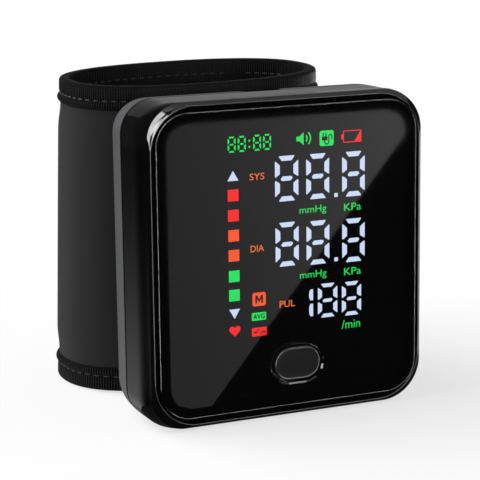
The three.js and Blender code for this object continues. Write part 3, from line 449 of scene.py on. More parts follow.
class Paint(Nodes):
    """The node tree of one material: a Principled shader and the nodes that feed it."""

    def __init__(self, name: str, base: Colour, rough: float, **values: float | Sequence[float]) -> None:
        """Starts a material with constants on the shader's own sockets.

        Args:
            name: the material's name.
            base: its linear colour.
            rough: its roughness.
            values: other sockets of the shader, with spaces as underscores.
        """
        self.material = bpy.data.materials.new(name)
        self.material.use_nodes = True
        super().__init__(self.material.node_tree)
        self.shader = self.tree.nodes["Principled BSDF"]
        self.base = (*base, 1.0)
        self.shader.inputs["Base Color"].default_value = self.base
        self.shader.inputs["Roughness"].default_value = rough
        for socket, value in values.items():
            self.shader.inputs[socket.replace("_", " ")].default_value = value

    def place(self) -> Socket:
        """Gives the place on the piece, in metres of the frame."""
        return self.node("TexCoord").node.outputs["Object"]

    def flat(self) -> tuple[Socket, Socket]:
        """Gives the place along and across the flat cloth, in millimetres."""
        split = self.node("SeparateXYZ", self.node("UVMap", uv_map="flat")).node
        return split.outputs["X"], split.outputs["Y"]

    def noise(self, size: float, detail: float = 2.0, place: Socket | None = None) -> Socket:
        """Gives an uneven field from 0 to 1, with patches of about a size in millimetres."""
        return self.node("TexNoise", place or self.place(), None, 1.0 / (size * MM), detail)

    def cells(self, size: float, disorder: float = 1.0, **settings: str) -> Socket:
        """Gives the distance to the nearest middle of cells, which lie in rows (0) or at random (1)."""
        feeds = (self.place(), None, 1.0 / (size * MM), *[None] * 5, disorder)
        return self.node("TexVoronoi", *feeds, **settings)

    def shade(self, share: Socket, low: float, high: float) -> None:
        """Varies the base colour's brightness.

        Args:
            share: from 0 for the first factor to 1 for the second.
            low: the first factor.
            high: the second factor.
        """
        mix = self.node("Mix", share, data_type="RGBA").node
        colours = [socket for socket in mix.inputs if socket.type == "RGBA"]
        for socket, factor in zip(colours, (low, high)):
            socket.default_value = (*(channel * factor for channel in self.base[:3]), 1.0)
        result = [socket for socket in mix.outputs if socket.type == "RGBA"][0]
        self.tree.links.new(result, self.shader.inputs["Base Color"])

    def roughen(self, share: Socket, low: float, high: float) -> None:
        """Varies the roughness between two values."""
        level = self.node("MapRange", share, 0.0, 1.0, low, high)
        self.tree.links.new(level, self.shader.inputs["Roughness"])

    def emboss(self, height: Socket, depth: float) -> None:
        """Raises the surface by a height from 0 to 1, as deep as a length in millimetres."""
        raised = self.node("Bump", 1.0, depth * MM, None, height)
        self.tree.links.new(raised, self.shader.inputs["Normal"])

    def show(self, shader: Socket) -> None:
        """Shows another shader in place of the Principled one."""
        self.tree.links.new(shader, self.tree.nodes["Material Output"].inputs["Surface"])


@dataclass(frozen=True)
class Moulded:
    """Moulded plastic or rubber: a fine grain, uneven gloss and a slight change of tone."""

    name: str
    base: Colour
    rough: float
    grain: float = 0.25
    relief: float = 0.01
    spread: float = 0.15
    specular: float = 0.5
    grain_detail: float = 3.0
    cloud: float = 9.0
    gloss_spread: float = 0.12

    def make(self) -> Material:
        """Builds the material: noise at the grain's size for relief, and wide noise for tone and gloss.

        Returns:
            The material.
        """
        paint = Paint(self.name, self.base, self.rough, Specular_IOR_Level=self.specular)
        wide = paint.noise(self.cloud)
        roughest = min(self.rough * (1.0 + self.gloss_spread), 1.0)
        paint.shade(wide, 1.0 - self.spread, 1.0 + self.spread)
        paint.roughen(wide, self.rough * (1.0 - self.gloss_spread), roughest)
        paint.emboss(paint.noise(self.grain, self.grain_detail), self.relief)
        return paint.material


@dataclass(frozen=True)
class Metal:
    """Bare or plated metal with fine drawing lines along one axis."""

    name: str
    base: Colour
    rough: float = 0.3
    stretch: tuple[float, float, float] = (1.0, 1.0, 8.0)
    line: float = 1.0 / 3.0
    tone: Span = (0.85, 1.1)
    gloss: Span = (0.8, 1.3)
    relief: float = 0.004

    def make(self) -> Material:
        """Builds the material: noise drawn out along one axis varies gloss, tone and relief.

        Returns:
            The material.
        """
        paint = Paint(self.name, self.base, self.rough, Metallic=1.0)
        drawn = paint.node("Mapping", paint.place(), None, None, [1.0 / part for part in self.stretch])
        lines = paint.noise(self.line, place=drawn)
        paint.shade(lines, *self.tone)
        paint.roughen(lines, *(self.rough * share for share in self.gloss))
        paint.emboss(lines, self.relief)
        return paint.material


@dataclass(frozen=True)
class Board:
    """Circuit board: solder mask with faint tracks and a small lustre."""

    name: str
    base: Colour = (0.006, 0.07, 0.03)
    rough: float = 0.38
    track: float = 1.1
    track_edge: float = 0.42
    tone: Span = (0.8, 1.7)
    gloss: Span = (0.34, 0.45)
    relief: float = 0.02

    def make(self) -> Material:
        """Builds the material: the far parts of square cells stand for the tracks under the mask.

        Returns:
            The material.
        """
        paint = Paint(self.name, self.base, self.rough)
        edge = paint.math("GREATER_THAN", paint.cells(self.track, distance="CHEBYCHEV"), self.track_edge)
        paint.shade(edge, *self.tone)
        paint.roughen(edge, *self.gloss)
        paint.emboss(edge, self.relief)
        return paint.material


@dataclass(frozen=True)
class Woven:
    """Woven cloth: threads over and under each other on the flat cloth, with a soft sheen."""

    name: str
    base: Colour
    pitch: float = 0.42
    relief: float = 0.03
    sheen: float = 0.25
    spread: float = 0.22
    rough: float = 0.82
    sheen_rough: float = 0.55
    specular: float = 0.05
    cloud: float = 7.0
    cloud_detail: float = 4.0
    cloud_share: float = 0.55
    gloss: Span = (0.74, 0.92)

    def make(self) -> Material:
        """Builds the material: the product of two sines along and across the cloth is the weave's height.

        Returns:
            The material.
        """
        lustre = {"Sheen_Weight": self.sheen, "Sheen_Roughness": self.sheen_rough}
        paint = Paint(self.name, self.base, self.rough, Specular_IOR_Level=self.specular, **lustre)
        turns = 2.0 * math.pi / self.pitch
        warp, weft = (paint.math("SINE", paint.math("MULTIPLY", way, turns)) for way in paint.flat())
        weave = paint.math("MULTIPLY_ADD", paint.math("MULTIPLY", warp, weft), 0.5, 0.5)
        cloudy = paint.noise(self.cloud, self.cloud_detail)
        clouds = paint.math("MULTIPLY", cloudy, self.cloud_share)
        tone = paint.math("MULTIPLY_ADD", weave, 1.0 - self.cloud_share, clouds)
        paint.shade(tone, 1.0 - self.spread, 1.0 + self.spread)
        paint.roughen(cloudy, *self.gloss)
        paint.emboss(weave, self.relief)
        return paint.material


@dataclass(frozen=True)
class Ribbed:
    """Ribbed binding tape: upright ribs, turning into a slanted twill along the fold, with painted highlight
    on the rib tops and painted shade in the grooves.
    """

    name: str
    base: Colour
    pitch: float = 0.6
    fold: float = 1.6
    lean: float = 1.3
    sharpness: float = 5.0
    knot: float = 0.8
    knot_height: float = 0.06
    relief: float = 0.14
    rough: float = 0.5
    sheen: float = 0.02
    specular: float = 0.06
    # Colour factors from groove to rib top: this wide range paints highlight on the ribs and shade between
    # them.
    tone: Span = (0.03, 8.6)
    cloud: float = 3.0
    gloss: Span = (0.4, 0.6)

    def make(self) -> Material:
        """Builds the material: a sharpened sine along the tape is the ribs' height; it leans at the fold. The
        height also sets the colour: painted highlight on the rib tops, painted shade in the grooves.

        Returns:
            The material.
        """
        lustre = {"Sheen_Weight": self.sheen, "Specular_IOR_Level": self.specular}
        paint = Paint(self.name, self.base, self.rough, **lustre)
        along, across = paint.flat()
        from_leg = paint.math("SUBTRACT", self.fold, paint.math("ABSOLUTE", across))
        lean = paint.math("MULTIPLY", paint.math("MAXIMUM", from_leg, 0.0), self.lean)
        turns = paint.math("MULTIPLY", paint.math("ADD", along, lean), 2.0 * math.pi / self.pitch)
        wave = paint.math("MULTIPLY_ADD", paint.math("SINE", turns), 0.5, 0.5)
        rib = paint.math("POWER", wave, self.sharpness)
        knots = paint.math("SINE", paint.math("MULTIPLY", across, 2.0 * math.pi / self.knot))
        rib_relief_and_painted_highlight = paint.math("MULTIPLY_ADD", knots, self.knot_height, rib)
        # Painted highlight and shade: the rib height lightens the tops and darkens the grooves.
        paint.shade(rib_relief_and_painted_highlight, *self.tone)
        paint.roughen(paint.noise(self.cloud), *self.gloss)
        paint.emboss(rib_relief_and_painted_highlight, self.relief)
        return paint.material


@dataclass(frozen=True)
class Pile:
    """Hook or loop tape, or open foam: a field of small tufts in rows or at random."""

    name: str
    base: Colour
    tuft: float
    disorder: float
    relief: float
    rough: float = 0.85
    sheen: float = 0.35
    sheen_rough: float = 0.4
    tone: Span = (0.3, 1.35)
    cloud: float = 2.0
    gloss: Span = (0.75, 0.95)

    def make(self) -> Material:
        """Builds the material: the distance to the nearest tuft's middle is turned into rounded tufts.

        Returns:
            The material.
        """
        lustre = {"Sheen_Weight": self.sheen, "Sheen_Roughness": self.sheen_rough}
        paint = Paint(self.name, self.base, self.rough, **lustre)
        height = paint.math("SUBTRACT", 1.0, paint.cells(self.tuft, self.disorder))
        paint.shade(height, *self.tone)
        paint.roughen(paint.noise(self.cloud), *self.gloss)
        paint.emboss(height, self.relief)
        return paint.material


@dataclass(frozen=True)
class Lit:
    """A lit mark of the display: a plain glow over a dull film, bright enough to pass the smoked window."""

    name: str
    glow: Colour
    strength: float
    film_share: float = 0.2
    rough: float = 0.6
    cloud: float = 1.0
    gloss: Span = (0.5, 0.7)

    def make(self) -> Material:
        """Builds the material: constant glow, with a faint grain in the film underneath.

        Returns:
            The material.
        """
        film = tuple(self.film_share * part for part in self.glow)
        lamp = {"Emission_Color": (*self.glow, 1.0), "Emission_Strength": self.strength}
        paint = Paint(self.name, film, self.rough, **lamp)
        paint.roughen(paint.noise(self.cloud), *self.gloss)
        paint.material.cycles.emission_sampling = "NONE"
        return paint.material


@dataclass(frozen=True)
class Smoked:
    """Smoked window: nearly black and glossy, thin enough for lit marks behind it to show."""

    name: str
    cover: float
    base: Colour = (0.0005, 0.0005, 0.0006)
    rough: float = 0.03
    cloud: float = 14.0
    gloss_spread: float = 0.4

    def make(self) -> Material:
        """Builds the material: a black gloss that covers a fixed share of what lies behind.

        Returns:
            The material.
        """
        paint = Paint(self.name, self.base, self.rough, Alpha=self.cover)
        ends = (self.rough * (1.0 - self.gloss_spread), self.rough * (1.0 + self.gloss_spread))
        paint.roughen(paint.noise(self.cloud), *ends)
        return paint.material


@dataclass
class CaseBody:
    """The two shells, the smoked window, the seals round both and the ink behind the window; the seam's black
    seal is also painted shade.

    A stop is a pair: an offset outwards from the window's outline, and a depth behind the window's front.
    """

    button: "StartButton"
    port: "ChargingPort"
    corner: float = 7.0
    corner_steps: int = 28
    side_steps: int = 14
    groove: float = 1.2
    groove_corner: float = 9.4
    groove_front: float = 0.3
    rim_width: float = 0.8
    rim_drop: float = 0.6
    rim_corner: float = 7.4
    rim_soft: float = 0.12
    rim_lead: float = 0.25
    rim_stops: tuple[float, ...] = (0.1, 0.03, -0.03, -0.1)
    slant_stops: Span = (0.35, 0.2)
    right_round: float = 1.6
    belly: float = 2.6
    belly_front: float = 5.5
    belly_rear: float = 9.5
    back_inset: float = 5.0
    back_squareness: float = 2.8
    back_corner: float = 0.7
    depth: float = 25.0
    wall: float = 1.8
    window_place: Span = (0.09, 0.06)
    window_trim: Span = (0.3, 0.18)
    window_soft: float = 0.32
    window_border: float = 0.08
    window_chamfer: float = 0.1
    window_crease: float = 24.0
    clear_depth: float = 0.07
    left_trim: float = -0.08
    rim_left: float = 0.42
    right_trim: float = 0.66
    bottom_trim: float = 0.09
    top_trim: float = 0.19
    top_fall: float = 0.72
    parting: float = 12.5
    seam: float = 0.15
    seam_drop: float = 0.05
    seam_clearance: float = 0.02
    front_edge: float = 0.12
    rear_gap: float = 0.5
    rear_edge: float = 0.06
    ledge_front: float = 2.2
    ledge_rear: float = 3.7
    ledge_width: float = 3.6
    ledge_fillet: float = 0.02
    screw_x: float = 26.0
    screw_rise: float = 22.0
    boss: float = 2.0
    boss_root: float = 0.7
    boss_rear: float = 7.25
    tube: float = 3.2
    tube_front: float = 9.05
    tube_root: float = 0.4
    tunnel: float = 2.3
    tunnel_front: float = 14.3
    tunnel_past: float = 2.0
    shank: float = 1.35
    shank_ends: Span = (8.0, 15.0)
    ink_margin: float = 2.5
    ink_thickness: float = 0.04
    ink_clearance: float = 0.02
    ink_corner: float = 0.05
    lip_clearance: float = 0.1
    lip_chamfer: float = 0.12
    lip_front: float = 0.5
    foot_reach: float = 2.4
    foot_front: float = 1.7
    foot_rear: float = 2.0
    gloss: Moulded = Moulded("black_gloss_plastic", (0.0012, 0.0012, 0.0013), 0.06, 0.5, 0.001, 0.1)
    matt: Moulded = Moulded("dark_grey_plastic", (0.082, 0.084, 0.087), 0.46, 0.2, 0.012, 0.07, 0.3)
    seal: Moulded = Moulded("black_seal_and_painted_shade", (0.0007, 0.0007, 0.0007), 0.8, 0.3, 0.01, 0.2, 0.01)
    smoke: Smoked = Smoked("smoked_window", 0.8)
    ink: Moulded = Moulded("window_ink", (0.0005, 0.0005, 0.0005), 0.75, specular=0.1)

    def outline(self, offset: float, corner: float, trims: Span = (0.0, 0.0)) -> Array:
        """Outlines the window moved outwards by an offset, then narrowed and lowered by two trims."""
        half = np.array([WINDOW_WIDTH, WINDOW_HEIGHT]) / 2 + self.window_trim + offset - np.array(trims) / 2
        return rounded_rectangle(*half, corner, self.corner_steps, self.side_steps)

    def ring(self, offset: float, depth: float) -> Array:
        """Runs round the window's outline, moved outwards by an offset, at one depth."""
        x, z = self.window_place
        return at_depth(self.outline(offset, self.corner + offset), depth, x, WINDOW_Z + z)

    def on_flank(self, depth: float) -> float:
        """Gives 0 at the rim's top, rising evenly to 1 at its foot and behind."""
        return min(max(depth / self.rim_drop, 0.0), 1.0)

    def corner_at(self, offset: float, depth: float) -> float:
        """Works out the skin's corner radius: wide at the groove, tight on the flank, smaller at the back.

        Args:
            offset: how far the skin stands out past the window's outline.
            depth: how far behind the window's front.

        Returns:
            The radius.
        """
        tight = (self.rim_corner - self.groove_corner) * self.on_flank(depth)
        behind = min(offset - self.belly, 0.0) if depth > self.belly_rear else 0.0
        return self.groove_corner + tight + self.back_corner * behind

    def skin(self, offset: float, depth: float, in_groove: bool = False) -> Array:
        """Runs round the case's outer skin, or round the groove inside its rim, at one depth.

        Args:
            offset: how far it stands out past the window's outline, before each side's trim.
            depth: how far behind the window's front; behind the rim its top falls and its left swells.
            in_groove: whether its corners run beside the groove's; else the right ones widen on the flank.

        Returns:
            The ring of places.
        """
        fall = float(smoothstep((depth - self.rim_drop) / (self.belly_front - self.rim_drop)))
        top, bottom = self.top_trim + self.top_fall * fall, self.bottom_trim
        left, right = self.left_trim + self.rim_left * (1.0 - fall), self.right_trim
        if in_groove:
            corner, wider = self.groove_corner + offset - self.groove, 0.0
        else:
            corner, wider = self.corner_at(offset, depth), self.right_round * self.on_flank(depth)
        trims = (left + right, top + bottom)
        outline = self.outline(offset, corner, trims)
        outline = np.where(outline[:, :1] < 0.0, outline, self.outline(offset, corner + wider, trims))
        x, z = self.window_place
        return at_depth(outline, depth, x + (left - right) / 2, WINDOW_Z + z + (bottom - top) / 2)

    def skins(self, stops: Sequence[Span], in_groove: bool = False) -> list[Array]:
        """Gives the skin's rings at a row of stops."""
        return [self.skin(*stop, in_groove) for stop in stops]

    def offset_at(self, depth: float) -> float:
        """Gives how far the case stands out past the window at a depth.

        A straight slant makes the rim, a quarter of a sine swells into the belly, the belly is straight,
        and a quarter of a squared-off ellipse rounds the back.

        Args:
            depth: how far behind the window's front.

        Returns:
            The offset.
        """
        rim = self.groove + self.rim_width
        if depth <= self.rim_drop:
            return self.groove + self.rim_width * depth / self.rim_drop
        if depth <= self.belly_front:
            share = (depth - self.rim_drop) / (self.belly_front - self.rim_drop)
            return rim + (self.belly - rim) * math.sin(share * math.pi / 2)
        if depth <= self.belly_rear:
            return self.belly
        share = min((depth - self.belly_rear) / (self.depth - self.belly_rear), 1.0)
        fall = 1.0 - (1.0 - share**self.back_squareness) ** (1.0 / self.back_squareness)
        return self.belly - (self.belly + self.back_inset) * fall

    def stops_at(self, depths: Sequence[float], inset: float = 0.0) -> list[Span]:
        """Gives the skin's stops at a row of depths, all moved inwards by an inset."""
        return [(self.offset_at(depth) - inset, depth) for depth in depths]

    def screw_places(self) -> list[Span]:
        """Gives x and z of the four screws that close the case."""
        heights = (WINDOW_Z - self.screw_rise, WINDOW_Z + self.screw_rise)
        return [(x, z) for x in (-self.screw_x, self.screw_x) for z in heights]

    def swell_depths(self) -> Array:
        """Gives the depths of the flank's rings, from the belly forward, closer together at the rim."""
        depths = np.linspace(self.belly_front, self.rim_drop + self.rim_lead, 12)[1:-1]
        return np.concatenate([depths, self.rim_drop + np.array(self.rim_stops), self.slant_stops])

    def front_shell(self) -> None:
        """Lofts the glossy front half, then cuts the port's openings.

        The rings run forward over the flank and the slanted rim, back down the groove to the window's ledge,
        and back along the inner wall to the seam. Four bosses take the screws.
        """
        seam, edge, soft = self.parting - self.seam, self.front_edge, self.rim_soft
        flank = np.concatenate([np.linspace(seam - edge, self.belly_front, 6), self.swell_depths()])
        outer = [(self.offset_at(seam) - edge, seam), *self.stops_at(flank)]
        turn = np.linspace(-math.atan2(self.rim_drop, self.rim_width), math.pi / 2, 10)
        groove = [(self.groove + soft * (1.0 - math.sin(t)), soft * (2.0 - math.cos(t))) for t in turn]
        groove += [(self.groove, self.groove_front), (self.groove, self.ledge_front - self.ledge_fillet)]
        groove += [(self.groove - self.ledge_fillet, self.ledge_front)]
        ledge = [(-self.ledge_width, self.ledge_front), (-self.ledge_width, self.ledge_rear)]
        inner = self.stops_at((self.ledge_rear, self.belly_front, self.belly_rear, seam), self.wall)
        rings = self.skins(outer) + self.skins(groove, in_groove=True)
        rings += [self.ring(*stop) for stop in ledge] + self.skins(inner)
        form = loop(rings)
        for x, z in self.screw_places():
            rod(self.boss, 24, (self.ledge_rear - self.boss_root, self.boss_rear), x, z, form)
        # The second finish, black seal rubber, covers only the port's cut walls, as painted shade in the
        # recess.
        shell = form.piece("glossy_front_shell", [self.gloss.make(), self.seal.make()])
        cut(shell, self.port.openings())
        place(shell, "monitor", "case_front", "front_shell")

    def seam_seal_and_shade(self) -> None:
        """Fills the seam between the shells with a black seal just below the skin, partly a seal and partly
        painted shade of the seam's gap; the port cuts it too.
        """
        front = self.parting - self.seam + self.seam_clearance
        rear = self.parting + self.rear_gap - self.seam_clearance
        outside = self.offset_at(front) - self.seam_drop
        inside = outside - self.wall / 2
        stops = [(outside, front), (outside, rear), (inside, rear), (inside, front)]
        # Near-black seal in the seam: partly a real seal, partly painted shade that draws the seam's dark
        # line.
        seal = loop(self.skins(stops)).piece("seam_seal_and_shade", [self.seal.make()])
        cut(seal, self.port.openings())
        place(seal, "monitor", "gasket")

    def rear_cover(self) -> None:
        """Lofts the matt rear half with its screw tubes, then cuts its tunnels and the port's openings."""
        edge, seam, floor = self.rear_edge, self.parting + self.rear_gap, self.depth - self.wall
        outside = seam + edge + (self.depth - seam - edge) * np.sin(np.linspace(0.0, 1.0, 26) * math.pi / 2)
        outer = self.skins([(self.offset_at(seam) - edge, seam), *self.stops_at(outside)])
        reach = (self.depth - seam) / (floor - seam)
        inside = np.linspace(floor, seam, 10)
        beside = self.stops_at(seam + (inside - seam) * reach, self.wall)
        inner = self.skins([(offset, depth) for (offset, _), depth in zip(beside, inside)])
        form = Form()
        form.add_grid(np.stack(outer), wrap_columns=True).add_cap(outer[-1])
        form.add_grid(np.stack(inner), wrap_columns=True).add_cap(inner[0])
        form.add_grid(np.stack([inner[-1], outer[0]]), wrap_columns=True)
        # The second finish, black seal rubber, covers only the port's cut walls, as painted shade in the
        # recess.
        cover = form.piece("matt_rear_cover", [self.matt.make(), self.seal.make()])
        tubes, tunnels = [], []
        for x, z in self.screw_places():
            tubes.append(rod(self.tube, 28, (self.tube_front, floor + self.tube_root), x, z))
            tunnels.append(rod(self.tunnel, 32, (self.tunnel_front, self.depth + self.tunnel_past), x, z))
            tunnels.append(rod(self.shank, 20, self.shank_ends, x, z))
        cut(cover, [tube.piece("tube") for tube in tubes], join=True)
        cut(cover, [tunnel.piece("tunnel") for tunnel in tunnels] + self.port.openings())
        place(cover, "monitor", "case_rear", "rear_cover")

    def window(self) -> None:
        """Makes the smoked window: a plate with a rounded front edge and the button's slot cut out.

        It is clear on its back face, so that only the front counts as smoke.
        """
        chamfer = self.window_chamfer
        stops = [(-self.window_soft - self.window_border, 0.0), *soft_edge(self.window_soft)]
        stops += [(0.0, WINDOW_THICKNESS - chamfer), (-chamfer, WINDOW_THICKNESS)]
        clear = Paint("clear_back", (0.0, 0.0, 0.0), 1.0, Alpha=0.0, Specular_IOR_Level=0.0).material
        rings = [self.ring(*stop) for stop in stops]
        plate = bar(rings).piece("smoked_front_window", [self.smoke.make(), clear])
        cut(plate, [self.button.slot()], crease=self.window_crease)
        mesh = plate.data
        middles = np.zeros(len(mesh.polygons) * 3, dtype=np.float32)
        mesh.polygons.foreach_get("center", middles)
        behind = middles.reshape(-1, 3)[:, 1] / MM - ORIGIN[1] > WINDOW_THICKNESS - self.clear_depth
        mesh.polygons.foreach_set("material_index", behind.astype(np.int32))
        place(plate, "monitor", "lens", "front_lens")

    def ink_border(self) -> None:
        """Makes the black ink sheet behind the window, open over the legend film and the button's slot."""
        (x, _, z), (half_width, _, half_height) = middle_of("legend_film"), half_of("legend_film")
        grow, front = self.ink_clearance, local_box("legend_film")[0][1]
        back = front + self.ink_thickness
        outline = rounded_rectangle(half_width + grow, half_height + grow, self.ink_corner, 6, 2)
        opening = bar([at_depth(outline, depth, x, z) for depth in (front - 1.0, back + 1.0)])
        rings = [self.ring(-self.ink_margin, depth) for depth in (front, back)]
        ink = bar(rings).piece("window_ink_border", [self.ink.make()])
        cut(ink, [opening.piece("opening"), self.button.slot()])
        place(ink, "monitor", "lens")

    def gasket(self) -> None:
        """Carries the seal's stepped section round the window: a foot under its edge, a lip in the groove."""
        outer, inner, foot = self.groove - self.lip_clearance, self.lip_clearance, -self.foot_reach
        chamfer, front = self.lip_chamfer, self.lip_front
        beside_rim = [(outer, self.foot_rear), (outer, front + chamfer), (outer - chamfer, front)]
        beside_window = [(inner + chamfer, front), (inner, front + chamfer), (inner, self.foot_front)]
        beside_window += [(foot, self.foot_front), (foot, self.foot_rear)]
        rings = self.skins(beside_rim, in_groove=True) + [self.ring(*stop) for stop in beside_window]
        seal = loop(rings).piece("window_seal", [self.seal.make()])
        place(seal, "monitor", "gasket", "lens_gasket")

    def build(self) -> None:
        """Makes both shells, the seals, the window and its ink."""
        self.front_shell()
        self.rear_cover()
        self.seam_seal_and_shade()
        self.gasket()
        self.window()
        self.ink_border()


@dataclass
class StartButton:
    """The wide start and stop button in the window's slot, with its flange and stem."""

    width: float = 10.8
    height: float = 7.3
    gap: float = 0.5
    bevel: float = 0.36
    bevel_depth: float = 0.21
    slot_front: float = -1.0
    slot_rear: float = 3.0
    flange: float = 0.8
    flange_front: float = 1.9
    flange_thickness: float = 0.8
    stem: float = 1.6
    stem_root: float = 0.4
    soft: float = 0.45
    dish: float = 0.04
    dish_stops: tuple[Span, ...] = ((3.4, 1.0), (2.4, 0.8), (1.3, 0.3))
    skin: Moulded = Moulded("button_plastic", (0.0215, 0.0215, 0.022), 0.13, 0.25, 0.003, 0.1, 0.3)

    def ring(self, grow: float, depth: float, end_steps: int) -> Array:
        """Runs round the button's outline, moved outwards, at one depth, about its CAD node's middle."""
        x, _, z = middle_of("start_button")
        return at_depth(stadium(self.width + 2 * grow, self.height + 2 * grow, end_steps), depth, x, z)

    def slot(self) -> Piece:
        """Makes the closed piece that cuts the slot: a bar flared at the front for a small bevel.

        Returns:
            The piece.
        """
        flare = self.bevel * (1.0 - self.slot_front / self.bevel_depth)
        stops = [(flare, self.slot_front), (0.0, self.bevel_depth), (0.0, self.slot_rear)]
        return bar([self.ring(self.gap + grow, depth, 20) for grow, depth in stops]).piece("slot")

    def build(self) -> None:
        """Lofts the cap with a slightly dished face and a round edge, then the flange and the stem."""
        low, high = local_box("start_button")
        x, _, z = middle_of("start_button")
        stops = [(-inset, low[1] + share * self.dish) for inset, share in self.dish_stops]
        stops += soft_edge(self.soft, low[1])
        outside, rear = self.gap + self.flange, self.flange_front + self.flange_thickness
        stops += [(0.0, self.flange_front), (outside, self.flange_front), (outside, rear)]
        form = bar([self.ring(*stop, 22) for stop in stops])
        rod(self.stem, 28, (self.flange_front + self.stem_root, high[1]), x, z, form)
        button = form.piece("start_stop_button", [self.skin.make()])
        place(button, "button", "button", "start_button")


@dataclass
class ChargingPort:
    """The charging socket on top: a drawn metal shell, a tongue and two rows of contacts."""

    wall: float = 0.35
    lip: float = 0.12
    lip_roll: float = 0.05
    foot_chamfer: float = 0.1
    floor: float = 1.2
    tongue: float = 0.7
    tongue_gap: float = 0.9
    tongue_drop: float = 0.7
    tongue_root: float = 1.0
    tongue_chamfer: float = 0.1
    tongue_corner: float = 0.2
    contacts: int = 12
    pitch: float = 0.5
    contact_size: tuple[float, float, float] = (0.24, 0.08, 2.4)
    contact_drop: float = 1.6
    slot_width: float = 9.5
    slot_height: float = 3.8
    recess: Span = (9.8, 7.6)
    recess_corner: float = 3.2
    proud: float = 0.35
    reach: float = 4.0
    metal: Metal = Metal("blackened_steel", (0.05, 0.05, 0.053), 0.34)
    plastic: Moulded = Moulded("socket_tongue", (0.008, 0.008, 0.008), 0.5)
    gold: Metal = Metal("contact_gold", (0.75, 0.52, 0.2), 0.25)

    def openings(self) -> list[Piece]:
        """Makes the closed pieces that cut the socket's slot and the recess round it.

        Returns:
            Both pieces; the faces that they cut take a shell's second finish, the black seal rubber, as
            painted shade on the recess walls.
        """
        x, y, _ = middle_of("charging_socket")
        top = local_box("charging_socket")[1][2]
        slot = stadium(self.slot_width, self.slot_height, 16)
        rim = rounded_rectangle(self.recess[0] / 2, self.recess[1] / 2, self.recess_corner, 12, 2)
        floor, above = top - self.proud, top + self.reach
        cuts = ((slot, (floor - self.reach, above)), (rim, (floor, above)))
        # Slot 1 gives the cut walls the black seal finish: painted shade inside the port's recess.
        bars = [bar([at_height(outline, height, x, y) for height in ends], 1) for outline, ends in cuts]
        return [solid.piece("opening") for solid in bars]

    def ring(self, inset: float, height: float) -> Array:
        """Runs round the socket's outline, moved inwards, at one height."""
        (x, y, _), (half_width, half_depth, _) = middle_of("charging_socket"), half_of("charging_socket")
        return at_height(stadium(2 * (half_width - inset), 2 * (half_depth - inset), 14), height, x, y)

    def build(self) -> None:
        """Draws the shell from a stadium with a rolled lip and sets the tongue and its contacts inside."""
        (x, y, _), (half_width, _, _) = middle_of("charging_socket"), half_of("charging_socket")
        low, high = (corner[2] for corner in local_box("charging_socket"))
        wall, chamfer = self.wall, self.foot_chamfer
        stops = [(chamfer, low), (0.0, low + chamfer), (0.0, high - self.lip), (self.lip, high)]
        stops += [(wall - self.lip_roll, high), (wall, high - self.lip), (wall, low + self.floor)]
        form = bar([self.ring(*stop) for stop in stops])
        tip = high - self.tongue_drop
        half_tongue = half_width - wall - self.tongue_gap
        board = rounded_rectangle(half_tongue, self.tongue / 2, self.tongue_corner, 6, 2)
        heights = (low + self.tongue_root, tip - self.tongue_chamfer, tip)
        bar([at_height(board, height, x, y) for height in heights], 1, form)
        cube = np.array([[i, j, k] for i in (-0.5, 0.5) for j in (-0.5, 0.5) for k in (-0.5, 0.5)])
        sides = np.array([[0, 1, 3, 2], [4, 6, 7, 5], [0, 4, 5, 1], [2, 3, 7, 6], [0, 2, 6, 4], [1, 5, 7, 3]])
        step = (np.arange(self.contacts) - (self.contacts - 1) / 2) * self.pitch
        along, side = np.meshgrid(step, (-1.0, 1.0))
        drop = np.full(along.shape, tip - self.contact_drop)
        middles = np.stack([x + along, y + side * self.tongue / 2, drop], axis=-1)
        form.add_copies(middles.reshape(-1, 1, 3) + cube[None] * np.array(self.contact_size), sides, 2)
        finishes = [self.metal.make(), self.plastic.make(), self.gold.make()]
        socket = form.piece("charging_socket_shell", finishes)
        place(socket, "monitor", "socket", "charging_socket")


class Hue(Enum):
    """Colours of the lit marks, as red, green and blue from 0 to 255, and the mask that cuts dark signs."""

    WHITE = (203, 216, 247)
    RED = (252, 30, 28)
    ORANGE = (253, 82, 34)
    AMBER = (248, 116, 46)
    GREEN = (20, 222, 88)
    MASK = (3, 3, 3)

    def linear(self) -> Colour:
        """Gives the colour in the linear values that a shader takes, by the sRGB curve's upper part."""
        return tuple((part / 255 / 1.055 + 0.0521) ** 2.4 for part in self.value)


Plate = tuple[Hue, Box, float]


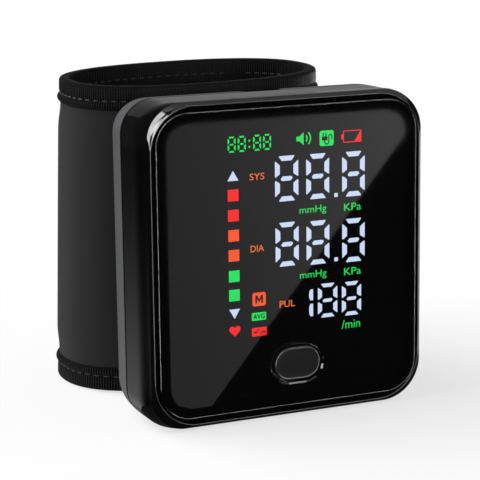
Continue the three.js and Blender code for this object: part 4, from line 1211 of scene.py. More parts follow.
@dataclass
class Display:
    """The lit segments, words and signs behind the window.

    Places are in millimetres right of and below the window's upper left corner, as they are seen through its
    front from the photograph's side. The marks lie deeper, so they are moved on along the line of sight.
    A box is its left, upper, right and lower edge, and a plate is its colour, box and corner radius.
    """

    cover: float
    measured_width: float = 60.0
    depth: float = 1.78
    mask_lift: float = 0.055
    top_lift: float = 0.11
    thickness: float = 0.045
    least_corner: float = 0.02
    letter_weld: float = 1e-4
    starts: tuple[float, ...] = (26.55, 33.85, 42.4)
    digit_width: float = 5.45
    rows: tuple[Span, ...] = ((10.15, 19.75), (24.25, 33.65))
    row_drops: tuple[tuple[float, ...], ...] = ((0.0, 0.1, 0.25), (0.0, 0.3, 0.58))
    dot: Box = (40.5, -0.75, 41.35, 0.1)
    dot_corner: float = 0.12
    pulse_row: Box = (36.5, 38.35, 47.0, 45.75)
    pulse_digit: float = 4.7
    pulse_drop: float = 0.2
    one_left: float = 34.95
    one_right: float = 35.35
    one_bow: float = 0.55
    one_round: float = 0.85
    one_gaps: tuple[float, float, float] = (0.95, 0.38, 0.6)
    scale_x: float = 16.9
    scale_rows: tuple[float, ...] = (17.53, 21.75, 26.0, 30.22, 34.62, 38.69)
    scale_hues: tuple[Hue, ...] = (Hue.RED, Hue.RED, Hue.ORANGE, Hue.ORANGE, Hue.GREEN, Hue.GREEN)
    square: float = 2.45
    arrow: Span = (1.25, 1.05)
    arrow_rows: Span = (13.45, 42.7)
    heart: Span = (2.6, 2.4)
    heart_row: float = 46.5
    labels: tuple[tuple[Hue, str, Box], ...] = (
        (Hue.AMBER, "SYS", (20.7, 13.3, 24.1, 14.7)),
        (Hue.AMBER, "DIA", (20.75, 28.5, 23.85, 29.9)),
        (Hue.AMBER, "PUL", (27.4, 41.05, 31.0, 42.5)),
        (Hue.GREEN, "mmHg", (32.25, 21.2, 38.6, 23.2)),
        (Hue.GREEN, "KPa", (42.85, 21.45, 46.95, 23.05)),
        (Hue.GREEN, "mmHg", (32.25, 35.2, 38.6, 37.2)),
        (Hue.GREEN, "KPa", (42.85, 35.45, 46.95, 37.05)),
        (Hue.GREEN, "/min", (42.25, 46.9, 46.75, 48.8)),
    )
    memory_badge: Plate = (Hue.ORANGE, (21.05, 38.65, 24.15, 41.55), 0.45)
    memory_letter: Span = (21.7, 39.25)
    mean_badge: Plate = (Hue.GREEN, (20.85, 42.95, 24.2, 44.65), 0.25)
    mean_word: Box = (21.15, 43.25, 23.9, 44.35)
    mean_weight: float = 0.025
    wave_badge: Plate = (Hue.RED, (20.85, 46.2, 24.3, 48.05), 0.3)
    wave_half: float = 0.16
    clock_starts: tuple[float, ...] = (15.8, 18.1, 21.6, 23.9)
    clock_rows: Span = (5.3, 8.6)
    clock_digit: float = 1.8
    colon_rows: Span = (6.2, 7.5)
    colon_x: float = 20.55
    colon_dot: float = 0.4
    colon_corner: float = 0.1
    sound_middle: Span = (33.2, 6.85)
    sound_radii: Span = (0.75, 1.55)
    sound_stroke: float = 0.3
    sound_turn: float = 0.8
    plug_badge: Plate = (Hue.GREEN, (37.05, 5.5, 40.4, 8.75), 0.5)
    plug_body: Plate = (Hue.MASK, (37.55, 6.75, 38.95, 7.6), 0.3)
    plug_stroke: float = 0.26
    battery: Plate = (Hue.RED, (42.65, 5.85, 47.0, 8.4), 0.15)
    battery_tip: Plate = (Hue.RED, (42.2, 6.6, 42.75, 7.65), 0.1)
    battery_inside: Plate = (Hue.MASK, (42.81, 6.01, 46.84, 8.24), 0.1)
    forms: dict[Hue, Form] = field(default_factory=lambda: {hue: Form() for hue in Hue})
    mask: Moulded = Moulded("display_mask_film", (0.002, 0.002, 0.002), 0.8)

    def spot(self, outline: Array, lift: float | Array) -> Array:
        """Places an outline of panel places in the case frame, a little in front of the film.

        Args:
            outline: places right of and below the window's corner.
            lift: how far in front of the film, for all places or for each.

        Returns:
            The places in the case frame.
        """
        depth = self.depth - lift
        right, up = Studio.sight_slopes()
        x = outline[:, 0] * WINDOW_WIDTH / self.measured_width - WINDOW_WIDTH / 2 + depth * right
        z = WINDOW_Z + WINDOW_HEIGHT / 2 - outline[:, 1] + depth * up
        return np.stack([x, np.zeros(len(outline)) + depth, z], axis=-1)

    def lift_of(self, hue: Hue) -> float:
        """Gives how far in front of the film a colour's marks lie; the mask lies in front of the others."""
        return self.mask_lift if hue is Hue.MASK else 0.0

    def mark(self, hue: Hue, outline: Sequence[Span] | Array, lift: float | None = None) -> None:
        """Adds one flat mark of a colour, as a thin plate.

        Args:
            hue: the colour.
            outline: places right of and below the window's corner.
            lift: how far in front of the film; the colour's own place if there is none.
        """
        places = np.asarray(outline, dtype=float)
        base = self.lift_of(hue) if lift is None else lift
        bar([self.spot(places, base), self.spot(places, base + self.thickness)], 0, self.forms[hue])

    def plate(self, hue: Hue, box: Box, corner: float = 0.0) -> None:
        """Adds a rectangle of a colour.

        Args:
            hue: the colour.
            box: its edges.
            corner: radius of its corners.
        """
        left, upper, right, lower = box
        middle = np.array([(left + right) / 2, (upper + lower) / 2])
        half_width, half_height = (right - left) / 2, (lower - upper) / 2
        round_by = max(corner, self.least_corner)
        self.mark(hue, middle + rounded_rectangle(half_width, half_height, round_by, 8, 1))

    def arc(self, hue: Hue, middle: Span, radius: float, stroke: float, way: Array) -> None:
        """Adds a bent stroke: a stretch of a ring, along directions from its middle."""
        self.mark(hue, np.concatenate([way * radius, way[::-1] * (radius + stroke)]) + middle)

    def words(self, hue: Hue, text: str, box: Box, weight: float = 0.0) -> None:
        """Adds text in the built-in letter, fitted to a box.

        Args:
            hue: the colour.
            text: the letters.
            box: the edges of the whole text.
            weight: how much the strokes are thickened, as a share of the letter's size.
        """
        curve = bpy.data.curves.new("words", "FONT")
        curve.body = text
        curve.offset = weight
        curve.extrude = 0.5
        curve.resolution_u = 3
        holder = bpy.data.objects.new("words", curve)
        bpy.context.scene.collection.objects.link(holder)
        shape = shaped_mesh(holder)
        bpy.data.objects.remove(holder)
        work = bmesh.new()
        work.from_mesh(shape)
        bmesh.ops.triangulate(work, faces=work.faces)
        bmesh.ops.remove_doubles(work, verts=work.verts, dist=self.letter_weld)
        work.to_mesh(shape)
        work.free()
        letters = places_of(shape)
        triangles = np.zeros(len(shape.polygons) * 3, dtype=np.int32)
        shape.polygons.foreach_get("vertices", triangles)
        bpy.data.meshes.remove(shape)
        share = (letters - letters.min(0)) / (letters.max(0) - letters.min(0))
        left, upper, right, lower = box
        x, down = left + share[:, 0] * (right - left), lower - share[:, 1] * (lower - upper)
        lift = self.lift_of(hue) + self.thickness * share[:, 2]
        places = self.spot(np.stack([x, down], axis=-1), lift)
        self.forms[hue].add_copies(places[None], triangles.reshape(-1, 3))

    def digit(self, hue: Hue, box: Box) -> None:
        """Adds the seven bars of one digit, all lit; each is a wedge, wide on the digit's outside.

        The top bar and the upper left bar are given as shares of the digit's width and height, and the others
        are these two turned over. The middle bar is its left half and the same half turned round.

        Args:
            hue: the colour.
            box: the digit's edges.
        """
        corner, size = np.array(box[:2]), np.array(box[2:]) - box[:2]
        top = size * [(0.17, 0.015), (0.19, 0.0), (0.82, 0.0), (0.84, 0.015), (0.71, 0.11), (0.29, 0.11)]
        side = size * [(0.0, 0.12), (0.02, 0.11), (0.21, 0.205), (0.21, 0.395), (0.03, 0.465), (0.0, 0.45)]
        middle = size * [(0.24, 0.51), (0.33, 0.45), (0.7, 0.45)]
        for turn_x in (False, True):
            for turn_y in (False, True):
                self.mark(hue, np.where([turn_x, turn_y], size - side, side) + corner)
        for turn_y in (False, True):
            self.mark(hue, np.where([False, turn_y], size - top, top) + corner)
        self.mark(hue, np.concatenate([middle, size - middle]) + corner)

    def readings(self) -> None:
        """Sets two large rows of three digits, their decimal dots, and the pulse row with its leading one."""
        for (upper, lower), drops in zip(self.rows, self.row_drops):
            for start, drop in zip(self.starts, drops):
                self.digit(Hue.WHITE, (start, upper + drop, start + self.digit_width, lower + drop))
            dot = tuple(np.array(self.dot) + (0.0, lower, 0.0, lower))
            self.plate(Hue.WHITE, dot, self.dot_corner)
        left, upper, right, lower = self.pulse_row
        for start, drop in ((left, 0.0), (right - self.pulse_digit, self.pulse_drop)):
            self.digit(Hue.WHITE, (start, upper + drop, start + self.pulse_digit, lower + drop))
        half = (upper + lower) / 2
        above, between, below = self.one_gaps
        bow = np.linspace(-1.0, 1.0, 13)
        for near, far in ((upper + above, half - between), (half + between, lower - below)):
            x = self.one_left - self.one_bow * np.sqrt(1.0 - self.one_round * bow**2)
            edge = np.stack([x, (near + far) / 2 + bow * (far - near) / 2], axis=-1)
            self.mark(Hue.WHITE, np.concatenate([edge, [(self.one_right, far), (self.one_right, near)]]))

    def scale(self) -> None:
        """Sets the coloured level scale: six squares between two arrows, and a heart under them.

        The heart is the well known curve of a cubed sine across and four cosines up, fitted to its size.
        """
        half = self.square / 2
        for hue, row in zip(self.scale_hues, self.scale_rows):
            self.plate(hue, (self.scale_x - half, row - half, self.scale_x + half, row + half))
        arrow = np.array([(-1.0, 1.0), (0.0, -1.0), (1.0, 1.0)]) * self.arrow
        for side, row in zip((1.0, -1.0), self.arrow_rows):
            self.mark(Hue.WHITE, arrow * (1.0, side) + (self.scale_x, row))
        turn = np.linspace(0, 2 * math.pi, 40, endpoint=False)
        lobes = 16 * np.sin(turn) ** 3
        height = 13 * np.cos(turn) - 5 * np.cos(2 * turn) - 2 * np.cos(3 * turn) - np.cos(4 * turn)
        heart = np.stack([lobes / 32, -(height + 2.5) / 29], axis=-1) * self.heart
        self.mark(Hue.RED, heart + (self.scale_x, self.heart_row))

    def badges(self) -> None:
        """Sets the three badges left of the pulse row: memory, mean value and a pulse wave."""
        self.plate(*self.memory_badge)
        letter = [(0, 1.7), (0, 0), (0.45, 0), (0.9, 0.85), (1.35, 0), (1.8, 0), (1.8, 1.7)]
        letter += [(1.38, 1.7), (1.38, 0.75), (0.9, 1.6), (0.42, 0.75), (0.42, 1.7)]
        self.mark(Hue.MASK, np.array(letter) + self.memory_letter)
        self.plate(*self.mean_badge)
        self.words(Hue.MASK, "AVG", self.mean_word, self.mean_weight)
        self.plate(*self.wave_badge)
        wave = [(21.2, 47.2), (22.0, 47.2), (22.4, 46.5), (22.9, 47.8), (23.25, 47.2), (23.95, 47.2)]
        half = np.array([0.0, self.wave_half])
        self.mark(Hue.MASK, np.concatenate([wave - half, wave[::-1] + half]))

    def clock(self) -> None:
        """Sets a small clock of four digits and a colon."""
        upper, lower = self.clock_rows
        for start in self.clock_starts:
            self.digit(Hue.GREEN, (start, upper, start + self.clock_digit, lower))
        for row in self.colon_rows:
            dot = (self.colon_x, row, self.colon_x + self.colon_dot, row + self.colon_dot)
            self.plate(Hue.GREEN, dot, self.colon_corner)

    def speaker(self) -> None:
        """Sets a speaker: a flared box and two bent strokes of sound."""
        box = [(31.6, 6.35), (32.3, 6.35), (33.3, 5.5), (33.3, 8.2), (32.3, 7.35), (31.6, 7.35)]
        self.mark(Hue.GREEN, box)
        way = round_way(np.linspace(-self.sound_turn, self.sound_turn, 10))
        for radius in self.sound_radii:
            self.arc(Hue.GREEN, self.sound_middle, radius, self.sound_stroke, way)

    def plug(self) -> None:
        """Sets a plug with two pins and its bent lead, cut out of a badge."""
        stroke = self.plug_stroke
        self.plate(*self.plug_badge)
        self.plate(*self.plug_body)
        for left in (37.8, 38.45):
            self.plate(Hue.MASK, (left, 6.0, left + stroke, 6.85), 0.05)
        bend = round_way(np.linspace(0.0, math.pi, 12))
        self.arc(Hue.MASK, (38.74, 7.9), 0.36, stroke, bend)
        self.arc(Hue.MASK, (39.6, 6.8), 0.24, stroke, bend * (1.0, -1.0))
        for left, upper, lower in ((38.12, 7.5, 7.95), (39.1, 6.75, 7.95), (39.84, 6.75, 7.4)):
            self.plate(Hue.MASK, (left, upper, left + stroke, lower), 0.03)

    def low_battery(self) -> None:
        """Sets a battery's frame with its tip and a slanted rest of charge."""
        for plate in (self.battery, self.battery_tip, self.battery_inside):
            self.plate(*plate)
        self.mark(Hue.RED, [(45.35, 8.25), (46.85, 6.0), (46.85, 8.25)], self.top_lift)

    def build(self) -> None:
        """Makes one piece of each colour, bright enough to pass the share that the smoked window covers."""
        self.readings()
        self.scale()
        for label in self.labels:
            self.words(*label)
        for sign in (self.badges, self.clock, self.speaker, self.plug, self.low_battery):
            sign()
        for hue, form in self.forms.items():
            name = hue.name.lower()
            lit = Lit(f"lit_{name}", hue.linear(), 1.0 / (1.0 - self.cover))
            finish = self.mask if hue is Hue.MASK else lit
            place(form.piece(f"display_{name}", [finish.make()]), "monitor", "legend")


@dataclass
class CuffPath:
    """The line that the cuff's cloth follows, seen from above: a squared-off ellipse open at a slit."""

    half_width: float = 30.2
    half_depth: float = 19.8
    squareness: float = 2.35
    middle: Span = (-3.0, 48.7)
    slit_angle: float = 55.0
    slit: float = -0.04
    height: float = 69.4
    flare: float = 1.2
    squeeze: Span = (0.35, 1.75)
    rim_tilt: float = 0.45
    side_tilt: float = 0.4
    foot_lift: float = 0.6
    samples: int = 6000
    probe: float = 0.05

    def __post_init__(self) -> None:
        """Measures the line's length once, counter-clockwise from the slit."""
        turn = math.radians(self.slit_angle) + np.linspace(0.0, 2 * math.pi, self.samples + 1)
        power = 2.0 / self.squareness
        self.x = self.middle[0] + self.half_width * signed_power(np.cos(turn), power)
        self.y = self.middle[1] + self.half_depth * signed_power(np.sin(turn), power)
        steps = np.hypot(np.diff(self.x), np.diff(self.y))
        self.run = np.concatenate([[0.0], np.cumsum(steps)])
        self.length = float(self.run[-1])

    def at(self, distance: Array) -> Array:
        """Gives x and y of the line itself, one after the other, at distances from the slit."""
        return np.stack([np.interp(distance, self.run, way, period=self.length) for way in (self.x, self.y)])

    def point(self, distance: Array, stand: Array, z: Array) -> Array:
        """Gives places beside the line.

        Args:
            distance: how far along the line from the slit.
            stand: how far outside the line.
            z: height above the floor, which also spreads the cuff a little at its foot.

        Returns:
            The places in the case frame. The left end is squeezed in, more towards the top. The rim is tilted
            down to the front and the left, and the foot rises a little at the front.
        """
        distance, stand, z = np.broadcast_arrays(distance, stand, z)
        x, y = self.at(distance)
        run_x, run_y = self.at(distance + self.probe) - self.at(distance - self.probe)
        size = np.hypot(run_x, run_y)
        level = z / self.height
        out = stand + self.flare * (0.5 - level)
        foot, top = self.squeeze
        leftness = np.clip((self.middle[0] - x) / self.half_width, 0.0, 1.0)
        inwards = (foot + (top - foot) * level) * leftness**2
        back = (y - self.middle[1]) / self.half_depth
        tilt = self.rim_tilt * back + self.side_tilt * (x - self.middle[0]) / self.half_width
        rise = tilt * level - self.foot_lift * np.minimum(back, 0.0) * (1.0 - level)
        return np.stack([x + inwards + out * run_y / size, y - out * run_x / size, z + rise], axis=-1)

    def stops(self, count: int, margin: float | None = None) -> Array:
        """Spaces distances evenly along the line, from a margin past the slit to a margin before it."""
        first = self.slit / 2 if margin is None else margin
        return np.linspace(first, self.length - first, count)

    def front(self) -> float:
        """Gives the depth of the line's front, behind the case."""
        return self.middle[1] - self.half_depth


@dataclass
class Stitching:
    """A row of short stitches along the cuff."""

    pitch: float = 2.3
    length: float = 1.55
    radius: float = 0.15
    sink: float = 0.35
    rings: int = 5
    sides: int = 6

    def row(self, form: Form, path: CuffPath, ends: Span, stand: float, z: float) -> None:
        """Adds stitches as spindles: a circle whose radius follows a half circle along each stitch.

        Args:
            form: the mesh that takes them, in its second finish.
            path: the line that they follow.
            ends: distances along the line that the row lies between.
            stand: how far outside the line they lie.
            z: their height above the floor.
        """
        middles = np.arange(min(ends) + self.length, max(ends) - self.length, self.pitch)
        along = np.linspace(-1.0, 1.0, self.rings)
        turn = np.arange(self.sides) * 2 * math.pi / self.sides
        radius = self.radius * np.sqrt(np.clip(1.0 - along**2, 0.0, 1.0))
        distance = middles[:, None, None] + along[None, :, None] * self.length / 2
        out = stand + radius[:, None] * np.cos(turn) - self.sink * self.radius * along[:, None] ** 2
        up = z + radius[:, None] * np.sin(turn)
        places = path.point(distance, out[None], up[None])
        faces = grid_faces(self.rings, self.sides, wrap_columns=True)
        form.add_copies(places.reshape(len(middles), -1, 3), faces, 1)


@dataclass
class CuffBand:
    """The padded band: spring sheet, outer cloth, lining, air bag, and the ribbed tape on both edges.

    A stand is a distance outside the cuff's line.
    """

    path: CuffPath = field(default_factory=CuffPath)
    stitching: Stitching = field(default_factory=Stitching)
    hem_height: float = 5.8
    slope_height: float = 6.0
    hem_stand: float = 0.6
    crown_stand: float = 1.1
    plate_stand: float = 1.15
    cloth: float = 0.3
    cloth_margin: float = 0.65
    hold_ease: float = 8.0
    tail_reach: float = 34.0
    root_reach: float = 20.0
    puff: float = 0.15
    puff_frames: int = 20
    sewn_from: float = 0.98
    lining_hem: float = -0.6
    lining_crown: float = -2.7
    fold_depth: float = 0.22
    fold_length: float = 11.0
    spring_stands: Span = (0.1, 0.8)
    spring_corner: float = 0.3
    screw_clearance: float = 0.3
    drill_reach: float = 5.0
    nipple: float = 2.2
    nipple_hole: float = 2.6
    nipple_rise: float = 31.0
    nipple_root: float = 0.9
    bag_margin: float = 12.0
    bag_stand: float = -0.9
    bag_edge: float = 0.12
    bag_swell: float = 0.68
    bag_end: float = 0.35
    bag_squareness: Span = (0.7, 0.35)
    tape_height: float = 5.5
    tape_stand: float = 1.25
    tape_cloth: float = 0.45
    tape_fold: float = 0.9
    fold_squareness: Span = (0.6, 0.8)
    tape_inside: float = 0.8
    inside_gap: float = 0.2
    stitch_height: float = 3.4
    stitch_sinks: Span = (0.22, 0.04)
    pinch: float = 0.3
    pinch_width: float = 0.35
    roll: float = 0.4
    roll_squareness: float = 0.8
    raw_edge: float = 0.35
    cover_cloth: Woven = Woven("cuff_cloth", (0.0165, 0.0165, 0.0171), sheen=0.06)
    lining_cloth: Woven = Woven("lining_cloth", (0.005, 0.005, 0.0055), 0.6, 0.05, 0.05)
    tape: Ribbed = Ribbed("binding_tape", (0.003, 0.003, 0.003))
    thread: Woven = Woven("stitching_thread", (0.06, 0.06, 0.06), 0.3, 0.02)
    film: Moulded = Moulded("bladder_film", (0.2, 0.21, 0.23), 0.35)
    spring_plastic: Moulded = Moulded("spring_sheet", (0.3, 0.3, 0.32), 0.35)

    def swell(self, z: Array) -> Array:
        """Gives 0 at the hems and 1 over the padded middle, eased between, for a height above the floor."""
        from_edge = np.minimum(z, self.path.height - z)
        return smoothstep((from_edge - self.hem_height) / self.slope_height)

    def heights(self, count: int) -> Array:
        """Spaces heights evenly up a cloth, short of both rims."""
        return np.linspace(self.cloth_margin, self.path.height - self.cloth_margin, count)

    def spring(self) -> None:
        """Bends the spring sheet along the line: a thin upright section, holed for screws and the nipple."""
        inner, outer = self.spring_stands
        half_height, middle_z = half_of("cuff_core")[2], middle_of("cuff_core")[2]
        section = rounded_rectangle((outer - inner) / 2, half_height, self.spring_corner, 5, 12)
        stand = (inner + outer) / 2 + section[None, :, 0]
        rings = self.path.point(self.path.stops(240)[:, None], stand, middle_z + section[None, :, 1])
        sheet = bar(rings).piece("cuff_spring_sheet", [self.spring_plastic.make()])
        holes = [(self.path.middle[0], self.nipple_rise, self.nipple_hole)]
        for screw in (f"cuff_screw_{number}" for number in (1, 2, 3, 4)):
            x, _, z = middle_of(screw)
            holes.append((x, z, half_of(screw)[0] + self.screw_clearance))
        front = self.path.front()
        ends = (front - self.drill_reach, front + self.drill_reach)
        cut(sheet, [rod(radius, 28, ends, x, z).piece("drill") for x, z, radius in holes])
        place(sheet, "monitor", "cuff_spring", "cuff_core")

    def thicken(self, sheet: Piece) -> None:
        """Gives a cloth its thickness, inwards from the face that is seen."""
        thick = sheet.modifiers.new("thickness", "SOLIDIFY")
        thick.thickness, thick.offset = self.cloth * MM, -1.0

    def cover(self) -> None:
        """Makes the outer cloth as one sheet, settles it by simulation and gives it its thickness."""
        along, z = self.path.stops(150), self.heights(64)
        upright = self.plate_stand + self.path.flare * (z[None] / self.path.height - 0.5)
        crown = self.crown_stand + upright * self.plate_hold(along)[:, None]
        stand = self.hem_stand + (crown - self.hem_stand) * self.swell(z)[None]
        grid = self.path.point(along[:, None], stand, z[None])
        form = Form().add_grid(grid, flat=flat_grid(along, z))
        sheet = form.piece("cuff_outer_cloth", [self.cover_cloth.make()], closed=False)
        self.settle_cloth(sheet, along, z)
        self.thicken(sheet)
        place(sheet, "monitor", "cuff_cloth", "cuff_cover")

    def settle_cloth(self, sheet: Piece, along: Array, z: Array) -> None:
        """Lets the pressed air behind the cloth push it out between its sewn edges, up to a small cap.

        Args:
            sheet: the flat-meshed cloth, rows along the band and columns up it.
            along: the rows' distances.
            z: the columns' heights.
        """
        held = (1.0 - self.swell(z))[None] + self.plate_hold(along)[:, None] + self.slit_hold(along)[:, None]
        weights = np.clip(held, 0.0, 1.0).ravel()
        group = sheet.vertex_groups.new(name="sewn")
        group.add(np.flatnonzero(weights > self.sewn_from).tolist(), 1.0, "REPLACE")
        settings = sheet.modifiers.new("cloth", "CLOTH").settings
        settings.vertex_group_mass = group.name
        settings.quality = 5
        settings.mass = 0.15
        settings.tension_stiffness = 12.0
        settings.bending_stiffness = 1.5
        settings.use_pressure = True
        settings.uniform_pressure_force = 0.8
        settings.effector_weights.gravity = 0.0
        scene = bpy.context.scene
        for tick in range(1, self.puff_frames + 1):
            scene.frame_set(tick)
        rest, puffed = places_of(sheet.data), shaped_mesh(sheet)
        shift = places_of(puffed) - rest
        bpy.data.meshes.remove(puffed)
        sheet.modifiers.clear()
        scene.frame_set(1)
        size = np.linalg.norm(shift, axis=1)
        cap = self.puff * MM
        shift *= (cap * (1.0 - weights) * np.tanh(size / cap) / np.maximum(size, 1e-12))[:, None]
        sheet.data.vertices.foreach_set("co", (rest + shift).ravel())
        sheet.data.update()

    def plate_hold(self, along: Array) -> Array:
        """Eases from where the band is held flat under the mounting plate to the free band beside it.

        Args:
            along: distances along the line.

        Returns:
            1 under the plate, and 0 where the band is free.
        """
        places = self.path.point(along, np.zeros_like(along), np.zeros_like(along))
        beside = np.abs(places[:, 0] - middle_of("cuff_mount_plate")[0]) - half_of("cuff_mount_plate")[0]
        return np.where(places[:, 1] < self.path.middle[1], 1.0 - smoothstep(beside / self.hold_ease), 0.0)

    def slit_hold(self, along: Array) -> Array:
        """Eases from where the band's ends meet under the tail and its loop patch to the free band.

        Args:
            along: distances along the line.

        Returns:
            1 round the slit, and 0 where the band is free.
        """
        far_side = along > self.path.length / 2
        from_slit = np.where(far_side, self.path.length - along, along)
        reach = np.where(far_side, self.tail_reach, self.root_reach)
        return 1.0 - smoothstep((from_slit - reach) / self.hold_ease)

    def lining(self) -> None:
        """Makes the inner cloth, full over the air bag, with shallow sine folds along the band."""
        along, z = self.path.stops(220), self.heights(48)
        swell = self.swell(z)[None]
        ripple = self.fold_depth * np.sin(along[:, None] * 2 * math.pi / self.fold_length)
        folds = ripple * np.sin(z[None] * math.pi / self.path.height)
        stand = self.lining_hem + (self.lining_crown - self.lining_hem) * swell + folds * swell
        grid = self.path.point(along[:, None], stand, z[None])
        form = Form().add_grid(grid[:, ::-1], flat=flat_grid(along, z)[:, ::-1])
        sheet = form.piece("cuff_inner_cloth", [self.lining_cloth.make()], closed=False)
        self.thicken(sheet)
        place(sheet, "monitor", "lining", "cuff_lining")

    def air_bag(self) -> None:
        """Makes the air bag: a squared-off oval carried along the band, with its nipple to the case."""
        stops, sides = 120, 36
        along = self.path.stops(stops, self.bag_margin)
        turn = np.arange(sides) * 2 * math.pi / sides
        ease = np.sqrt(np.clip(np.sin(np.linspace(0.0, math.pi, stops)), 0.0, 1.0)) ** self.bag_end
        thick = self.bag_edge + self.bag_swell * ease[:, None]
        flatter, taller = self.bag_squareness
        stand = self.bag_stand + thick * signed_power(np.sin(turn), flatter)[None]
        up = middle_of("air_bladder")[2] + half_of("air_bladder")[2] * signed_power(np.cos(turn), taller)
        form = bar(self.path.point(along[:, None], stand, up[None]))
        ends = (local_box("air_bladder")[0][1], self.path.front() + self.nipple_root)
        rod(self.nipple, 28, ends, self.path.middle[0], self.nipple_rise, form)
        bag = form.piece("cuff_air_bag", [self.film.make()])
        place(bag, "monitor", "bladder", "air_bladder")

    def tape_section(self) -> tuple[Array, Array, Array, int]:
        """Draws the folded tape's section.

        The outer leg is straight to the stitching, pinched there, and rolls out past it to its raw edge. The
        fold is a half circle flattened at the rim. The inner leg and the tape's inside are straight.

        Returns:
            Stand, height from the rim and place across the flat tape at each point, and how many points from
            the start lie on the tape's outside.
        """
        leg = np.linspace(self.tape_height, self.tape_fold, 26)
        past = np.clip((leg - self.stitch_height) / (self.tape_height - self.stitch_height), 0.0, 1.0)
        pinch = self.pinch * np.exp(-(((leg - self.stitch_height) / self.pinch_width) ** 2))
        rolled = self.roll * np.sin(past * math.pi) ** self.roll_squareness
        out = self.tape_stand - pinch + rolled - self.raw_edge * past**6
        turn = np.linspace(0.0, math.pi, 15)[1:-1]
        across_fold, down_fold = self.fold_squareness
        fold_stand = self.tape_stand * signed_power(np.cos(turn), across_fold)
        fold_height = self.tape_fold * (1.0 - np.sin(turn) ** down_fold)
        inner = np.full(len(leg), -self.tape_stand)
        inside = np.linspace(self.tape_height, self.tape_cloth + self.inside_gap, 8)
        hollow = np.full(len(inside), self.tape_inside)
        stand = np.concatenate([out, fold_stand, inner, -hollow, hollow])
        height = np.concatenate([leg, fold_height, leg[::-1], inside, inside[::-1]])
        across = np.concatenate([[0.0], np.cumsum(np.hypot(np.diff(stand), np.diff(height)))])
        across -= across[len(leg) + len(turn) // 2]
        return stand, height, across, len(stand) - 2 * len(inside)

    def binding(self, upper: bool) -> None:
        """Carries the folded tape along one edge of the band and sews it on both sides.

        Args:
            upper: whether it is the upper edge.
        """
        along = self.path.stops(360)
        stand, height, across, outside = self.tape_section()
        z = self.path.height - height if upper else height
        flat = flat_grid(along, np.append(across, across[-1] + 0.5))
        form = bar(self.path.point(along[:, None], stand[None], z[None]), flat=flat)
        row = self.path.height - self.stitch_height if upper else self.stitch_height
        outer_sink, inner_sink = self.stitch_sinks
        for side in (self.tape_stand - outer_sink, -self.tape_stand - inner_sink):
            self.stitching.row(form, self.path, (1.0, self.path.length - 1.0), side, row)
        name = "upper" if upper else "lower"
        tape = form.piece(f"{name}_edge_tape", [self.tape.make(), self.thread.make()])
        place(tape, "monitor", "binding", f"{name}_binding")

    def build(self) -> None:
        """Makes the spring sheet, both cloths, the air bag and the tape on both edges."""
        self.spring()
        self.cover()
        self.lining()
        self.air_bag()
        self.binding(upper=True)
        self.binding(upper=False)


@dataclass(frozen=True)
class Patch:
    """One patch of tape: its name, CAD node, body, slot, ends along the line, stand and finish."""

    name: str
    node: str
    rides_on: str
    slot: str
    span: Span
    stand: float
    finish: Pile


